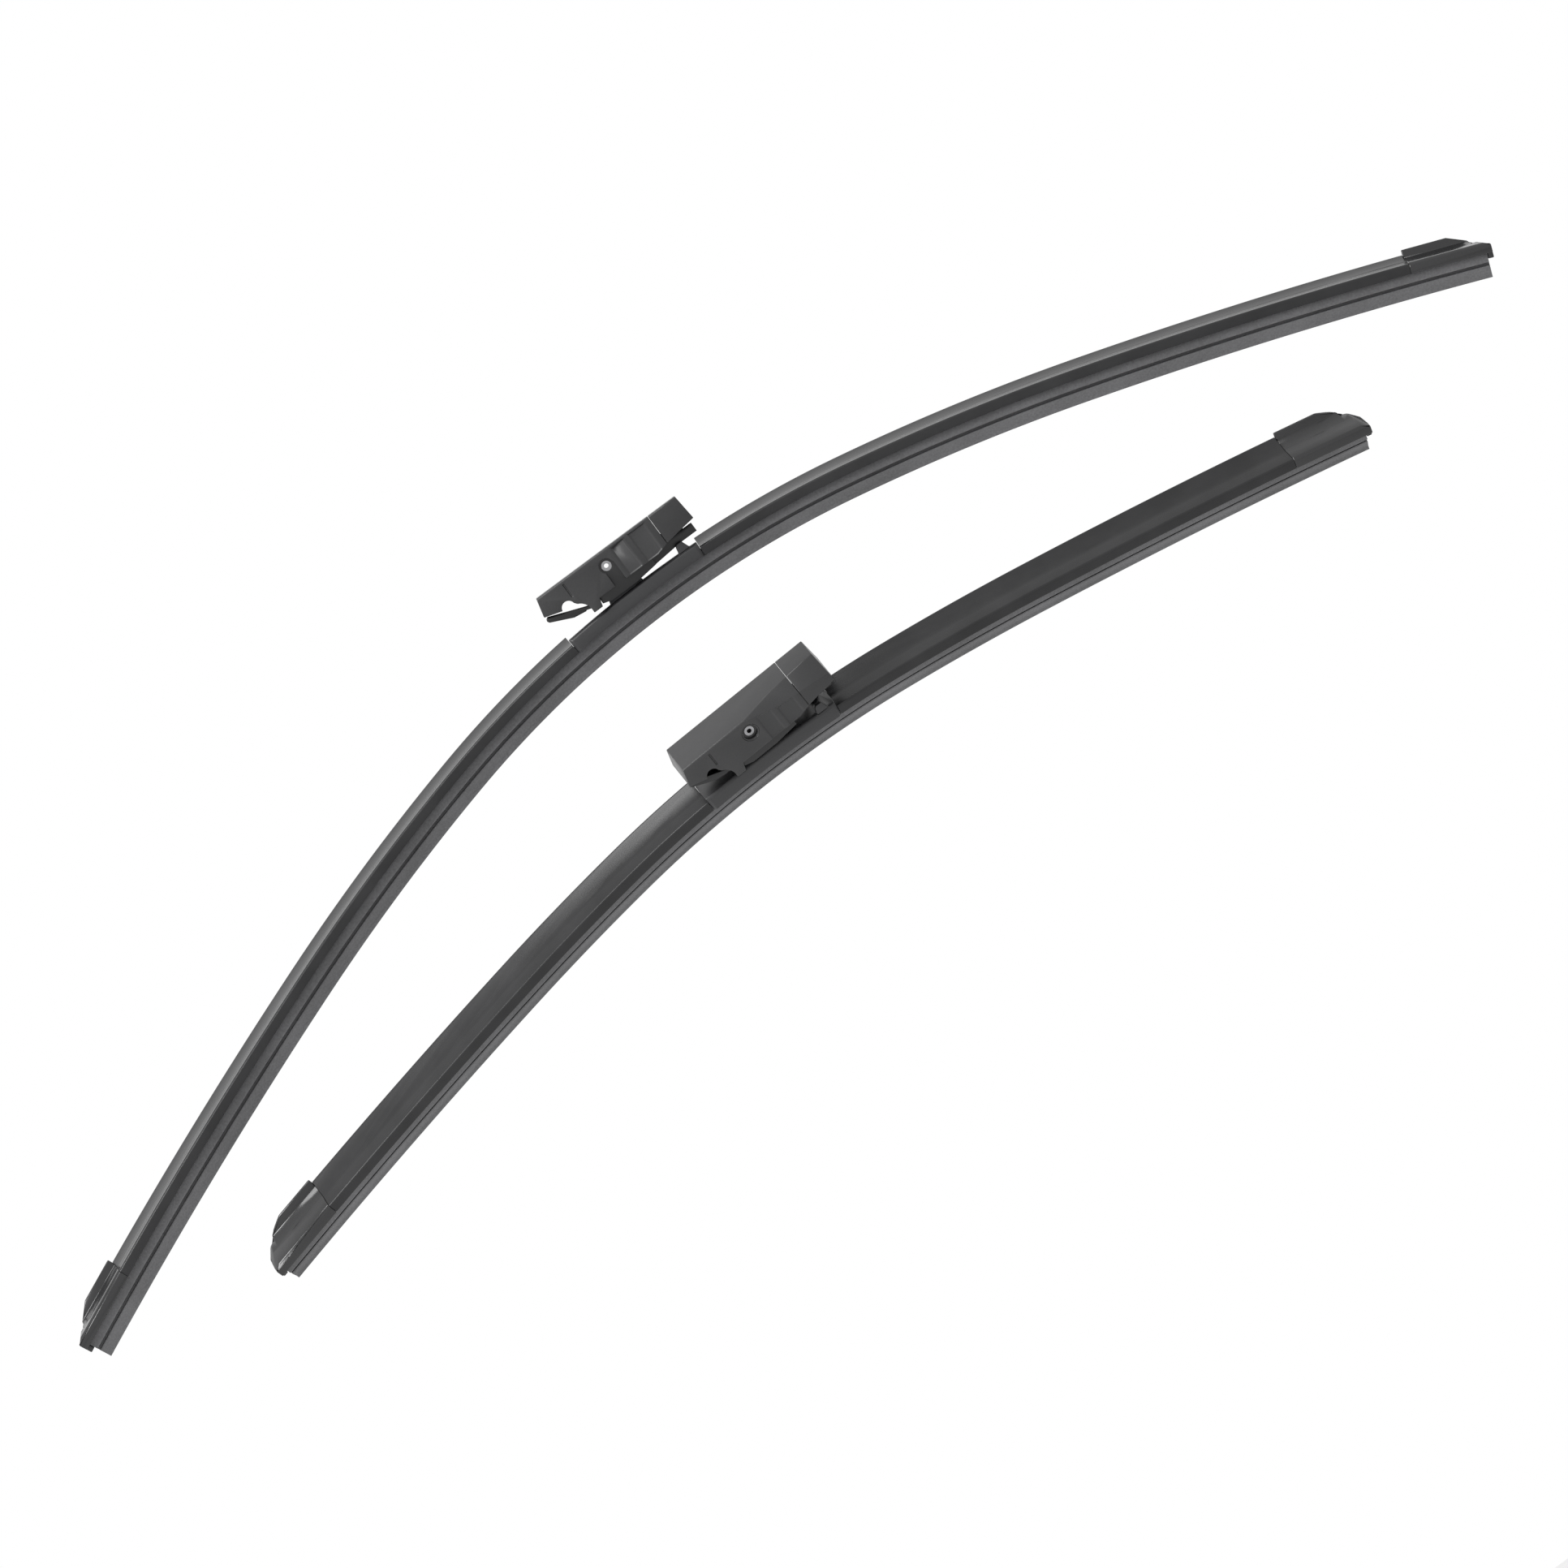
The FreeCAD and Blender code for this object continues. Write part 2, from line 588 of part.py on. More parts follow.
def housing_profile(y_from, y_to):
    """The housing from the front: slanted face, chin, window, hinge lug and underside."""
    chin = SEAT_HEIGHT - CHIN_DEPTH
    window_low = SEAT_HEIGHT - WINDOW_DEPTH
    window_middle = -(WINDOW_START + WINDOW_END) / 2.0
    lug_low = BASE_TOP + LUG_RISE
    lug_corner = (-WINDOW_END + CHIN_CUT, lug_low + 2.0 * LUG_ROUND)
    lug_middle = ((lug_corner[0] - LUG_OUTER) / 2.0 + CHIN_CUT / 2.0, lug_low + 1.5 * LUG_ROUND)
    wall_low = BASE_TOP + WALL_RISE
    return side_plate(
        y_from, y_to, (-ADAPTER_LEFT, SEAT_HEIGHT), (-ADAPTER_LEFT - FACE_SLANT, chin),
        (-WINDOW_START, window_low), (window_middle, window_low + WINDOW_HEIGHT, -WINDOW_END, window_low),
        lug_corner, lug_middle + (-LUG_OUTER, lug_low + LUG_ROUND / 2.0), (-LUG_OUTER, lug_low),
        (-LUG_INNER, lug_low), (-LUG_INNER + CHIN_CUT, wall_low), (WALL_END, wall_low),
        (COVER_SEAM, BASE_TOP + SEAM_RISE), (COVER_SEAM, SEAT_HEIGHT))


def cover_profile(y_from, y_to):
    """The end cover from the front, past the seam."""
    seam = COVER_SEAM + SEAM_GAP
    return side_plate(
        y_from, y_to, (seam, SEAT_HEIGHT), (seam, BASE_TOP + SEAM_RISE),
        (COVER_BEND, BASE_TOP + COVER_BEND_RISE), (ADAPTER_RIGHT + COVER_SLANT, BASE_TOP + COVER_END_RISE),
        (ADAPTER_RIGHT, SEAT_HEIGHT))


def adapter_form():
    """The adapter's block, as wide and as high as the housing, with rounded top edges."""
    left = -ADAPTER_LEFT - 2.0 * FACE_SLANT
    right = ADAPTER_RIGHT + 2.0 * FACE_SLANT
    solid = block(left, right, -HOUSING_SIDE, HOUSING_SIDE, BELOW, SEAT_HEIGHT)
    top_edges = [
        edge for edge in solid.Edges
        if abs(edge.CenterOfMass.z - SEAT_HEIGHT) < SLIDE_FIT and edge.Length > ADAPTER_LEFT + ADAPTER_RIGHT
    ]
    return solid.makeFillet(TOP_ROUND, top_edges)


def shoulder_corners(x, cut):
    """Triangle over the top front edge. Its long side is the shoulder's slope, drawn past the walls."""
    side = -HOUSING_SIDE
    past = 2.0 * HOUSING_WALL
    low = (side - past, SEAT_HEIGHT - SHOULDER_FALL_SHARE * (cut + past))
    high = (side + cut + past, SEAT_HEIGHT + SHOULDER_FALL_SHARE * past)
    corners = [low, high, (low[0], high[1])]
    return [FreeCAD.Vector(x, y, z) for y, z in corners]


def flat_face(*points):
    """Flat face with straight edges between points in space."""
    return Part.Face(Part.Wire(Part.makePolygon(list(points) + [points[0]])))


def flat_sided_solid(start, end):
    """Solid between two outlines with the same number of corners."""
    faces = [flat_face(*start), flat_face(*end)]
    for index in range(len(start)):
        faces.append(flat_face(start[index - 1], start[index], end[index], end[index - 1]))
    return Part.Solid(Part.Shell(faces))


def sloping_shoulder(depth):
    """Space over the short adapter's front shoulder, sunk by a depth for the inside of the wall."""
    start = shoulder_corners(-SHOULDER_START, SLIDE_FIT)
    bend = shoulder_corners(SHOULDER_BEND, SHOULDER_CUT_AT_BEND)
    end = shoulder_corners(ADAPTER_RIGHT + 2.0 * FACE_SLANT, SHOULDER_CUT_AT_END)
    space = flat_sided_solid(start, bend).fuse(flat_sided_solid(bend, end))
    space.translate(FreeCAD.Vector(0, depth, -depth))
    return space


def adapter_room(blade, x_from, x_to, depth):
    """Hollow inside the adapter between two places along it."""
    room = block(x_from, x_to, -HOUSING_INNER, HOUSING_INNER, BELOW - BEYOND, PLATE_UNDERSIDE)
    if not blade.snap_slot:
        room = room.cut(sloping_shoulder(depth))
    return room


def side_wall_cut(width, side, depth, z_from, z_to, x_from):
    """Block that cuts one side wall from outside, down to a depth."""
    low, high = sorted((side * (HOUSING_SIDE - depth), side * HOUSING_WIDTH))
    return block(x_from, x_from + width, low, high, z_from, z_to)


def adapter_housing(blade):
    """Upper housing of the adapter: seat, side walls, chin, side holes and grooves."""
    wide = HOUSING_WIDTH
    shell = housing_profile(-wide, wide).common(adapter_form())
    if not blade.snap_slot:
        shell = shell.cut(sloping_shoulder(0.0))
    shell = shell.cut(adapter_room(blade, -ADAPTER_LEFT + HOUSING_WALL, COVER_SEAM + BEYOND, HOUSING_WALL))
    shell = shell.cut(cross_cylinder(SIDE_HOLE_RADIUS, 0.0, PIVOT_HEIGHT, wide))
    pin_end = HOUSING_INNER + LEVER_PIN_LENGTH + EASY_FIT
    pin_radius = LEVER_PIN_RADIUS + PIVOT_CLEARANCE
    shell = shell.cut(cross_cylinder(pin_radius, LEVER_HINGE_X, LEVER_HINGE_HEIGHT, pin_end))
    chin = SEAT_HEIGHT - CHIN_DEPTH
    for side in (-1, 1):
        shell = shell.cut(side_wall_cut(
            SIDE_GROOVE_WIDTH, side, SIDE_GROOVE_DEPTH, chin, PLATE_UNDERSIDE, -SIDE_GROOVE))
        if blade.snap_slot:
            slot = SNAP_SLOT_LEFT + SNAP_SLOT_RIGHT
            shell = shell.cut(side_wall_cut(
                slot, side, HOUSING_WALL + BEYOND, BELOW, PIVOT_HEIGHT, -SNAP_SLOT_LEFT))
        else:
            shell = shell.cut(side_ring(side))
    return shell.removeSplitter()


def side_ring(side):
    """Shallow round recess round the hole in one side wall."""
    radius = SIDE_HOLE_RADIUS + SIDE_RING_WIDTH
    ring = cross_cylinder(radius, 0.0, PIVOT_HEIGHT, HOUSING_WIDTH)
    return ring.common(side_wall_cut(
        4.0 * radius, side, SIDE_RING_DEPTH, BELOW, SEAT_HEIGHT, -2.0 * radius))


def end_cover(blade):
    """Cover that closes the right end of the adapter."""
    wide = HOUSING_WIDTH
    shell = cover_profile(-wide, wide).common(adapter_form())
    if not blade.snap_slot:
        shell = shell.cut(sloping_shoulder(0.0))
    return shell.cut(adapter_room(blade, COVER_SEAM - BEYOND, ADAPTER_RIGHT - HOUSING_WALL, HOUSING_WALL))


def adapter_insert(blade):
    """Inner frame: two cheeks with the pivot bores, cross walls and a tongue to the right."""
    low = BASE_TOP + INSERT_RISE
    end_low = BASE_TOP + INSERT_END_RISE
    frame = side_plate(
        -CHEEK_OUTER, CHEEK_OUTER, (-INSERT_LEFT, PLATE_UNDERSIDE), (-INSERT_LEFT, end_low),
        (-INSERT_FLAT, low), (INSERT_FLAT, low), (INSERT_RIGHT, end_low), (INSERT_RIGHT, PLATE_UNDERSIDE))
    frame = frame.cut(block(
        -INSERT_LEFT + INSERT_END_WALL, INSERT_RIGHT - INSERT_END_WALL, -CHEEK_INNER, CHEEK_INNER,
        BELOW, SEAT_HEIGHT))
    ear_room = EAR_OUTER + OPEN_GAP
    notch_top = BASE_TOP + WALL_RISE
    frame = frame.cut(block(-INSERT_LEFT - BEYOND, 0.0, -ear_room, ear_room, BELOW, notch_top))
    half = TONGUE_WIDTH / 2.0
    under = BASE_TOP + TONGUE_RISE
    root_under = under - INSERT_END_WALL
    root_top = root_under + TONGUE_ROOT_HEIGHT
    tip_top = under + TONGUE_TIP_HEIGHT
    tongue = side_plate(
        -half, half, (INSERT_RIGHT - INSERT_END_WALL / 2.0, root_under), (TONGUE_SLOPE_START, under),
        (TONGUE_END, under), (TONGUE_END, tip_top), (TONGUE_END - TONGUE_TIP_HEIGHT, tip_top),
        (TONGUE_SLOPE_START, root_top), (INSERT_RIGHT - INSERT_END_WALL / 2.0, root_top))
    frame = frame.fuse(tongue)
    if not blade.snap_slot:
        frame = frame.cut(sloping_shoulder(HOUSING_WALL + EASY_FIT))
    bore = cross_cylinder(RIVET_RADIUS + PIVOT_CLEARANCE, 0.0, PIVOT_HEIGHT, HOUSING_WIDTH)
    return frame.cut(bore).removeSplitter()


def release_lever(blade):
    """Lever under the chin: a tapering blade, a hinge barrel and two stub pins."""
    run = LEVER_TIP_X - LEVER_HINGE_X
    rise = LEVER_TIP_HEIGHT - LEVER_HINGE_HEIGHT
    reach = math.hypot(run, rise)
    along = (run / reach, rise / reach)
    normal = (along[1], -along[0])

    def spot(distance, over):
        return (
            LEVER_HINGE_X + along[0] * distance + normal[0] * over,
            LEVER_HINGE_HEIGHT + along[1] * distance + normal[1] * over)

    side = LEVER_WIDTH / 2.0
    plate = side_plate(
        -side, side, spot(LEVER_NECK, -LEVER_ROOT_UNDER), spot(LEVER_KINK, -LEVER_KINK_UNDER),
        spot(reach - LEVER_TIP_CUT, -LEVER_TIP_UNDER), spot(reach, -LEVER_TIP_UNDER + LEVER_TIP_CUT),
        spot(reach, LEVER_TIP_OVER - LEVER_TIP_CUT), spot(reach - LEVER_TIP_CUT, LEVER_TIP_OVER),
        spot(LEVER_NECK, LEVER_ROOT_OVER))
    barrel_side = HOUSING_INNER - EASY_FIT
    half = LEVER_NECK_THICKNESS / 2.0
    neck_end = LEVER_NECK + EASY_FIT
    neck = side_plate(
        -side, side, spot(0.0, -half), spot(neck_end, -half), spot(neck_end, LEVER_ROOT_OVER),
        spot(0.0, LEVER_ROOT_OVER))
    barrel = cross_cylinder(LEVER_BARREL_RADIUS, LEVER_HINGE_X, LEVER_HINGE_HEIGHT, barrel_side)
    pin_reach = HOUSING_INNER + LEVER_PIN_LENGTH
    pins = cross_cylinder(LEVER_PIN_RADIUS, LEVER_HINGE_X, LEVER_HINGE_HEIGHT, pin_reach)
    return plate.fuse(neck).fuse(barrel).fuse(pins).removeSplitter()


def adapter_place(blade):
    """Where a blade's adapter lies in the pair's frame."""
    if blade is LONG:
        return FreeCAD.Placement(FreeCAD.Vector(0, 0, -SEAT_HEIGHT), FreeCAD.Rotation())
    turn = FreeCAD.Rotation(ACROSS, SHORT_TURN).multiply(FreeCAD.Rotation(ALONG, SHORT_ROLL))
    pivot = FreeCAD.Vector(*SHORT_PIVOT)
    return FreeCAD.Placement(pivot - turn.multVec(UP * PIVOT_HEIGHT), turn)


def swing_place(blade):
    """The swing of a blade on its rivet, seen from its adapter."""
    turn = FreeCAD.Rotation(ACROSS, blade.swing)
    pivot = UP * PIVOT_HEIGHT
    return FreeCAD.Placement(pivot - turn.multVec(pivot), turn)


def adapter_pieces(blade):
    """The pieces that a wiper arm holds, as seen from the adapter."""
    return {
        "adapter_housing": adapter_housing(blade),
        "adapter_insert": adapter_insert(blade),
        "end_cover": end_cover(blade),
        "release_lever": release_lever(blade),
    }


def middle_pieces(blade):
    """The pieces round the rivet, as seen from the rivet's place on the bow."""
    return {
        "carrier": carrier(blade),
        "base_cover": base_cover(blade),
        "pivot_rivet": pivot_rivet(blade),
    }


def strip_pieces(blade):
    """The long pieces and the caps, as seen from the blade's middle."""
    return {
        "rubber_element": wiping_rubber(blade),
        "rail_front": spring_rail(blade, -1),
        "rail_rear": spring_rail(blade, 1),
        "spoiler_left": spoiler(blade, -1),
        "spoiler_right": spoiler(blade, 1),
        "end_cap_left": end_cap(blade, -1),
        "end_cap_right": end_cap(blade, 1),
    }


def placed_pieces(blade):
    """Every piece of one blade by name, with the placement that takes it to the pair's frame."""
    adapter = adapter_place(blade)
    swung = adapter.multiply(swing_place(blade))
    middle = swung.multiply(bow_place(blade, blade.offset).inverse())
    groups = ((strip_pieces, middle), (middle_pieces, swung), (adapter_pieces, adapter))
    return {name: (shape, place) for make, place in groups for name, shape in make(blade).items()}


def report_places(blade):
    """Print the mount, hinge positions and axes of one blade in the pair's frame."""
    place = adapter_place(blade)
    spots = {
        "seat": FreeCAD.Vector(0, 0, SEAT_HEIGHT),
        "pivot": FreeCAD.Vector(0, 0, PIVOT_HEIGHT),
        "lever hinge": FreeCAD.Vector(LEVER_HINGE_X, 0, LEVER_HINGE_HEIGHT),
    }
    for name, spot in spots.items():
        print(blade.name, name, [round(value, 4) for value in place.multVec(spot)])
    print(blade.name, "axis", [round(value, 6) for value in place.Rotation.multVec(ACROSS)])
    print(blade.name, "up", [round(value, 6) for value in place.Rotation.multVec(UP)])


def main():
    """Build both blades and write one file for each piece."""
    os.makedirs("parts", exist_ok=True)
    for blade in (LONG, SHORT):
        for name, (shape, place) in placed_pieces(blade).items():
            placed = shape.copy()
            placed.Placement = place.multiply(placed.Placement)
            placed.exportStep(f"parts/{blade.name}_{name}.step")
            facts = (placed.isValid(), len(placed.Solids), round(placed.Volume, 1))
            print(blade.name, name, "valid, solids, cubic mm:", facts)
        report_places(blade)


main()
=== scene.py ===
# %% [markdown]
# Two beam wiper blades, finished in Blender.
#
# A beam blade is a bowed strip of rubber that two spring-steel rails press on the
# windscreen. An extruded spoiler is clipped over the rails, a moulded cap closes each end,
# and an adapter in the middle swings on a hollow rivet, so that the blade can follow the
# glass. The construction comes from a fixed model in metres. This script models the long
# strips again with their true rounded edges, softens the moulded pieces, gives every piece
# its finish, and sets the light and the camera.
#
# The first cell loads that model.

# %% Load the model
import json
import math

import bmesh
import bpy
from mathutils import Matrix, Vector


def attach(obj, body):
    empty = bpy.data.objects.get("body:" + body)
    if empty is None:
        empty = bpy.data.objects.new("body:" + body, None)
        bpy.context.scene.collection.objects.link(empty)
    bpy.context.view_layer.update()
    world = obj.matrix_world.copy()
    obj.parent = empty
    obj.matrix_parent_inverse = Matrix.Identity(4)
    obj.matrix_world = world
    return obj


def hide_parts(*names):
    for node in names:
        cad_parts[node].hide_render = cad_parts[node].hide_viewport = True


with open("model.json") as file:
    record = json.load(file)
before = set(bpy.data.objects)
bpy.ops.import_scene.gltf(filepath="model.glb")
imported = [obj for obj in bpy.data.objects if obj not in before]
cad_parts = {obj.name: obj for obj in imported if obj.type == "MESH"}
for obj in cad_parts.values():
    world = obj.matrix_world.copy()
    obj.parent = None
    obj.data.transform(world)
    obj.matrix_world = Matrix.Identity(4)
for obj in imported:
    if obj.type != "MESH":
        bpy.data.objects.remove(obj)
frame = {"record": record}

MM = 0.001
scene = bpy.context.scene
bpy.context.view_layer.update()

# %% [markdown]
# The photograph is taken with a long lens, nearly level with the long blade, and the camera
# is turned about its line of sight, so that the blades run from lower left to upper right.
#
# The long blade's chord, from lip end to lip end, is the ruler for all of this, so this cell
# measures it in the model: its length, its middle, and how much it tilts.

# %% The long blade's chord
rubber = bpy.data.objects["long_rubber_element"]
rubber_points = [rubber.matrix_world @ vertex.co for vertex in rubber.data.vertices]
left_tip = min(rubber_points, key=lambda point: point.x + point.z)
right_tip = max(rubber_points, key=lambda point: point.x - point.z)
chord = right_tip - left_tip
chord_tilt = math.atan2(chord.z, chord.x)
chord_middle = (left_tip + right_tip) / 2.0
chord_middle.y = 0.0
print("chord of", round(chord.length / MM, 1), "mm, tilted by", round(math.degrees(chord_tilt), 2), "degrees")

# %% [markdown]
# Three facts place the camera. The chord has a known length in pixels, which gives the scale.
# It rises by 37.99 degrees in the picture, which gives the turn. And its middle has a known
# place in the picture, which gives the aim. A camera far away with a very long lens keeps both
# blades at nearly the same scale, though one is nearer than the other.

# %% Camera
IMAGE_PIXELS = 1932
CHORD_PIXELS = 2160.0
CHORD_RISE = math.radians(37.99)
CHORD_MIDDLE_PIXEL = (988.3, 1006.0)
VIEW_ELEVATION = math.radians(1.0)
VIEW_DISTANCE = 20.0
SENSOR_WIDTH_MM = 36.0

rise = CHORD_RISE - chord_tilt
level_up = Vector((0.0, math.sin(VIEW_ELEVATION), math.cos(VIEW_ELEVATION)))
picture_right = Vector((1, 0, 0)) * math.cos(rise) - level_up * math.sin(rise)
picture_up = Vector((1, 0, 0)) * math.sin(rise) + level_up * math.cos(rise)
towards_camera = picture_right.cross(picture_up)

metres_per_pixel = chord.length / CHORD_PIXELS
aim = chord_middle
aim = aim + picture_right * (IMAGE_PIXELS / 2.0 - CHORD_MIDDLE_PIXEL[0]) * metres_per_pixel
aim = aim - picture_up * (IMAGE_PIXELS / 2.0 - CHORD_MIDDLE_PIXEL[1]) * metres_per_pixel

camera_data = bpy.data.cameras.new("camera")
camera = bpy.data.objects.new("camera", camera_data)
scene.collection.objects.link(camera)
axes = Matrix((picture_right, picture_up, towards_camera)).transposed()
camera.matrix_world = Matrix.Translation(aim + towards_camera * VIEW_DISTANCE) @ axes.to_4x4()
camera_data.sensor_width = SENSOR_WIDTH_MM
camera_data.lens = SENSOR_WIDTH_MM * VIEW_DISTANCE / (IMAGE_PIXELS * metres_per_pixel)
camera_data.clip_start = 0.1
camera_data.clip_end = 200.0
scene.camera = camera
print("lens in mm", round(camera_data.lens))

# %% [markdown]
# Every finish below is built from nodes. Colours are written as they look on a screen, and
# one function turns them to the linear numbers that Blender mixes light with. Another adds
# a node: an input that is given a socket is linked to it, and any other input is set.

# %% Colour and node helpers
def linear_colour(hex_colour):
    """Screen colour such as "2b2b2d" as linear red, green, blue and alpha."""
    parts = [int(hex_colour[start:start + 2], 16) / 255.0 for start in (0, 2, 4)]
    return [part / 12.92 if part <= 0.04045 else ((part + 0.055) / 1.055) ** 2.4 for part in parts] + [1.0]


def add_node(tree, kind, settings=None, **inputs):
    """Add a node with its settings, and link or set its inputs. An underscore stands for a space."""
    node = tree.nodes.new(kind)
    for name, value in (settings or {}).items():
        setattr(node, name, value)
    for name, value in inputs.items():
        socket = node.inputs[name.replace("_", " ")]
        if isinstance(value, bpy.types.NodeSocket):
            tree.links.new(value, socket)
        else:
            socket.default_value = value
    return node


def new_finish(name):
    """Empty material: its node tree, its shader and the coordinates of the piece in metres."""
    material = bpy.data.materials.new(name)
    material.use_nodes = True
    tree = material.node_tree
    shader = tree.nodes["Principled BSDF"]
    place = add_node(tree, "ShaderNodeTexCoord").outputs["Object"]
    return material, tree, shader, place


finishes = {}
print("a mid grey, 808080, is", round(linear_colour("808080")[0], 3), "in linear light")

# %% [markdown]
# The spoilers are extruded from a black elastomer. The die leaves faint lines that run the
# whole length of the strip, and handling leaves a thin pale bloom. The blade bows in its own
# plane, so a noise that is stretched along the blade and changes only across it follows the
# bow without any unwrapping. The lines are drawn 1.2 mm apart, coarser than real ones, which
# would be too fine to show.

# %% Extruded elastomer of the spoilers
LINE_SPACING_MM = 1.2
CHANGES_PER_METRE = 12.0
BLOOM_PER_METRE = 55.0
elastomer, tree, shader, place = new_finish("extruded_elastomer")
across = add_node(tree, "ShaderNodeVectorMath", {"operation": "MULTIPLY"})
tree.links.new(place, across.inputs[0])
across.inputs[1].default_value = (CHANGES_PER_METRE, 1.0 / (LINE_SPACING_MM * MM), CHANGES_PER_METRE)
lines = add_node(tree, "ShaderNodeTexNoise", Vector=across.outputs[0], Scale=1.0, Detail=2.0)
bloom = add_node(
    tree, "ShaderNodeTexNoise", Vector=place, Scale=BLOOM_PER_METRE, Detail=4.0, Roughness=0.6)
bloom_amount = add_node(
    tree, "ShaderNodeMapRange", Value=bloom.outputs["Fac"], From_Min=0.35, From_Max=0.75)
colour = add_node(tree, "ShaderNodeMix", {"data_type": "RGBA"})
tree.links.new(bloom_amount.outputs[0], colour.inputs["Factor"])
colour.inputs[6].default_value = linear_colour("1e1e1f")
colour.inputs[7].default_value = linear_colour("2a2a2b")
tree.links.new(colour.outputs[2], shader.inputs["Base Color"])
# Satin, with a low reflection face on, so that it stays black and only its edges shine.
roughness = add_node(
    tree, "ShaderNodeMapRange", Value=lines.outputs["Fac"], To_Min=0.2, To_Max=0.32)
tree.links.new(roughness.outputs[0], shader.inputs["Roughness"])
shader.inputs["Specular IOR Level"].default_value = 0.35
relief = add_node(
    tree, "ShaderNodeBump", Height=lines.outputs["Fac"], Strength=0.12, Distance=0.03 * MM)
tree.links.new(relief.outputs[0], shader.inputs["Normal"])
finishes["spoiler_plastic"] = elastomer
print("die lines per 10 mm", round(10.0 / LINE_SPACING_MM))

# %% [markdown]
# The wiping element is natural rubber. Its lip is dusted with graphite so that it slides
# without squeaking, which makes it the greyest and dullest piece of the blade.

# %% Graphite-coated natural rubber
COAT_GRAIN_MM = 0.6
SMEARS_PER_METRE = 30.0
natural_rubber, tree, shader, place = new_finish("graphite_coated_rubber")
dust = add_node(
    tree, "ShaderNodeTexNoise", Vector=place, Scale=1.0 / (COAT_GRAIN_MM * MM), Detail=3.0)
smear = add_node(
    tree, "ShaderNodeTexNoise", Vector=place, Scale=SMEARS_PER_METRE, Detail=3.0, Roughness=0.6)
both = add_node(tree, "ShaderNodeMath", {"operation": "ADD"})
tree.links.new(dust.outputs["Fac"], both.inputs[0])
tree.links.new(smear.outputs["Fac"], both.inputs[1])
amount = add_node(
    tree, "ShaderNodeMapRange", Value=both.outputs[0], From_Min=0.7, From_Max=1.4)
colour = add_node(tree, "ShaderNodeMix", {"data_type": "RGBA"})
tree.links.new(amount.outputs[0], colour.inputs["Factor"])
colour.inputs[6].default_value = linear_colour("545455")
colour.inputs[7].default_value = linear_colour("6e6e70")
tree.links.new(colour.outputs[2], shader.inputs["Base Color"])
# The powder scatters light: a dull grey, with no clear reflection anywhere.
shader.inputs["Roughness"].default_value = 0.5
relief = add_node(
    tree, "ShaderNodeBump", Height=dust.outputs["Fac"], Strength=0.3, Distance=0.05 * MM)
tree.links.new(relief.outputs[0], shader.inputs["Normal"])
finishes["wiping_rubber"] = natural_rubber
print("finish", natural_rubber.name)

# %% [markdown]
# The moulded pieces are plastics that differ in gloss and grain. One recipe serves them: a
# spark-eroded mould leaves a fine grain, which the recipe draws as a noise of the grain's own
# size, and thick spots sink a little as they cool, which a second, much larger and softer
# noise gives. The caps come from a polished mould: nearly no grain, a gloss, and the sinks
# bend their reflections. The grain is drawn at 0.5 to 0.6 mm, coarser than a real one, which
# would be too fine to show.

# %% Moulded plastics
GRAIN_MM = {"polished": 0.6, "eroded": 0.5}
ROUGHNESS_SPREAD = 0.06


def moulded_plastic(name, dark, light, roughness, grain, grain_depth, sink_mm, sink_depth):
    """Moulded plastic with a grain and shallow sinks, both sized in millimetres."""
    material, tree, shader, place = new_finish(name)
    grain = add_node(
        tree, "ShaderNodeTexNoise", Vector=place, Scale=1.0 / (GRAIN_MM[grain] * MM), Detail=2.0)
    sink = add_node(
        tree, "ShaderNodeTexNoise", Vector=place, Scale=1.0 / (sink_mm * MM), Detail=1.0)
    colour = add_node(tree, "ShaderNodeMix", {"data_type": "RGBA"})
    tree.links.new(grain.outputs["Fac"], colour.inputs["Factor"])
    colour.inputs[6].default_value = linear_colour(dark)
    colour.inputs[7].default_value = linear_colour(light)
    tree.links.new(colour.outputs[2], shader.inputs["Base Color"])
    dull = add_node(
        tree, "ShaderNodeMapRange", Value=sink.outputs["Fac"],
        To_Min=roughness - ROUGHNESS_SPREAD, To_Max=roughness + ROUGHNESS_SPREAD)
    tree.links.new(dull.outputs[0], shader.inputs["Roughness"])
    sunk = add_node(
        tree, "ShaderNodeBump", Height=sink.outputs["Fac"], Strength=1.0, Distance=sink_depth * MM)
    relief = add_node(
        tree, "ShaderNodeBump", Height=grain.outputs["Fac"], Normal=sunk.outputs[0], Strength=0.6,
        Distance=grain_depth * MM)
    tree.links.new(relief.outputs[0], shader.inputs["Normal"])
    return material


# Glossy ABS from a polished mould: clear, slightly wavy reflections.
finishes["cap_plastic"] = moulded_plastic(
    "polished_abs", "222223", "2b2b2c", 0.16, "polished", 0.0004, 6.0, 0.12)
# Nylon with glass fibres: a satin charcoal, a little lighter than the rest.
finishes["housing_plastic"] = moulded_plastic(
    "glass_filled_nylon", "29292a", "333334", 0.36, "eroded", 0.004, 9.0, 0.12)
# The same nylon without fibres: smoother, so its soft highlights are brighter.
finishes["cover_plastic"] = moulded_plastic(
    "grained_nylon", "242425", "2d2d2e", 0.3, "eroded", 0.008, 8.0, 0.15)
# PBT, chosen because it keeps its shape: an even satin.
finishes["base_plastic"] = moulded_plastic(
    "satin_pbt", "28282a", "313132", 0.36, "eroded", 0.006, 12.0, 0.1)
# Acetal, a slippery bearing plastic: the blackest piece.
finishes["black_acetal"] = moulded_plastic(
    "black_acetal", "0e0e0f", "161617", 0.32, "eroded", 0.005, 8.0, 0.1)
print("finishes so far", [finish.name for finish in finishes.values()])

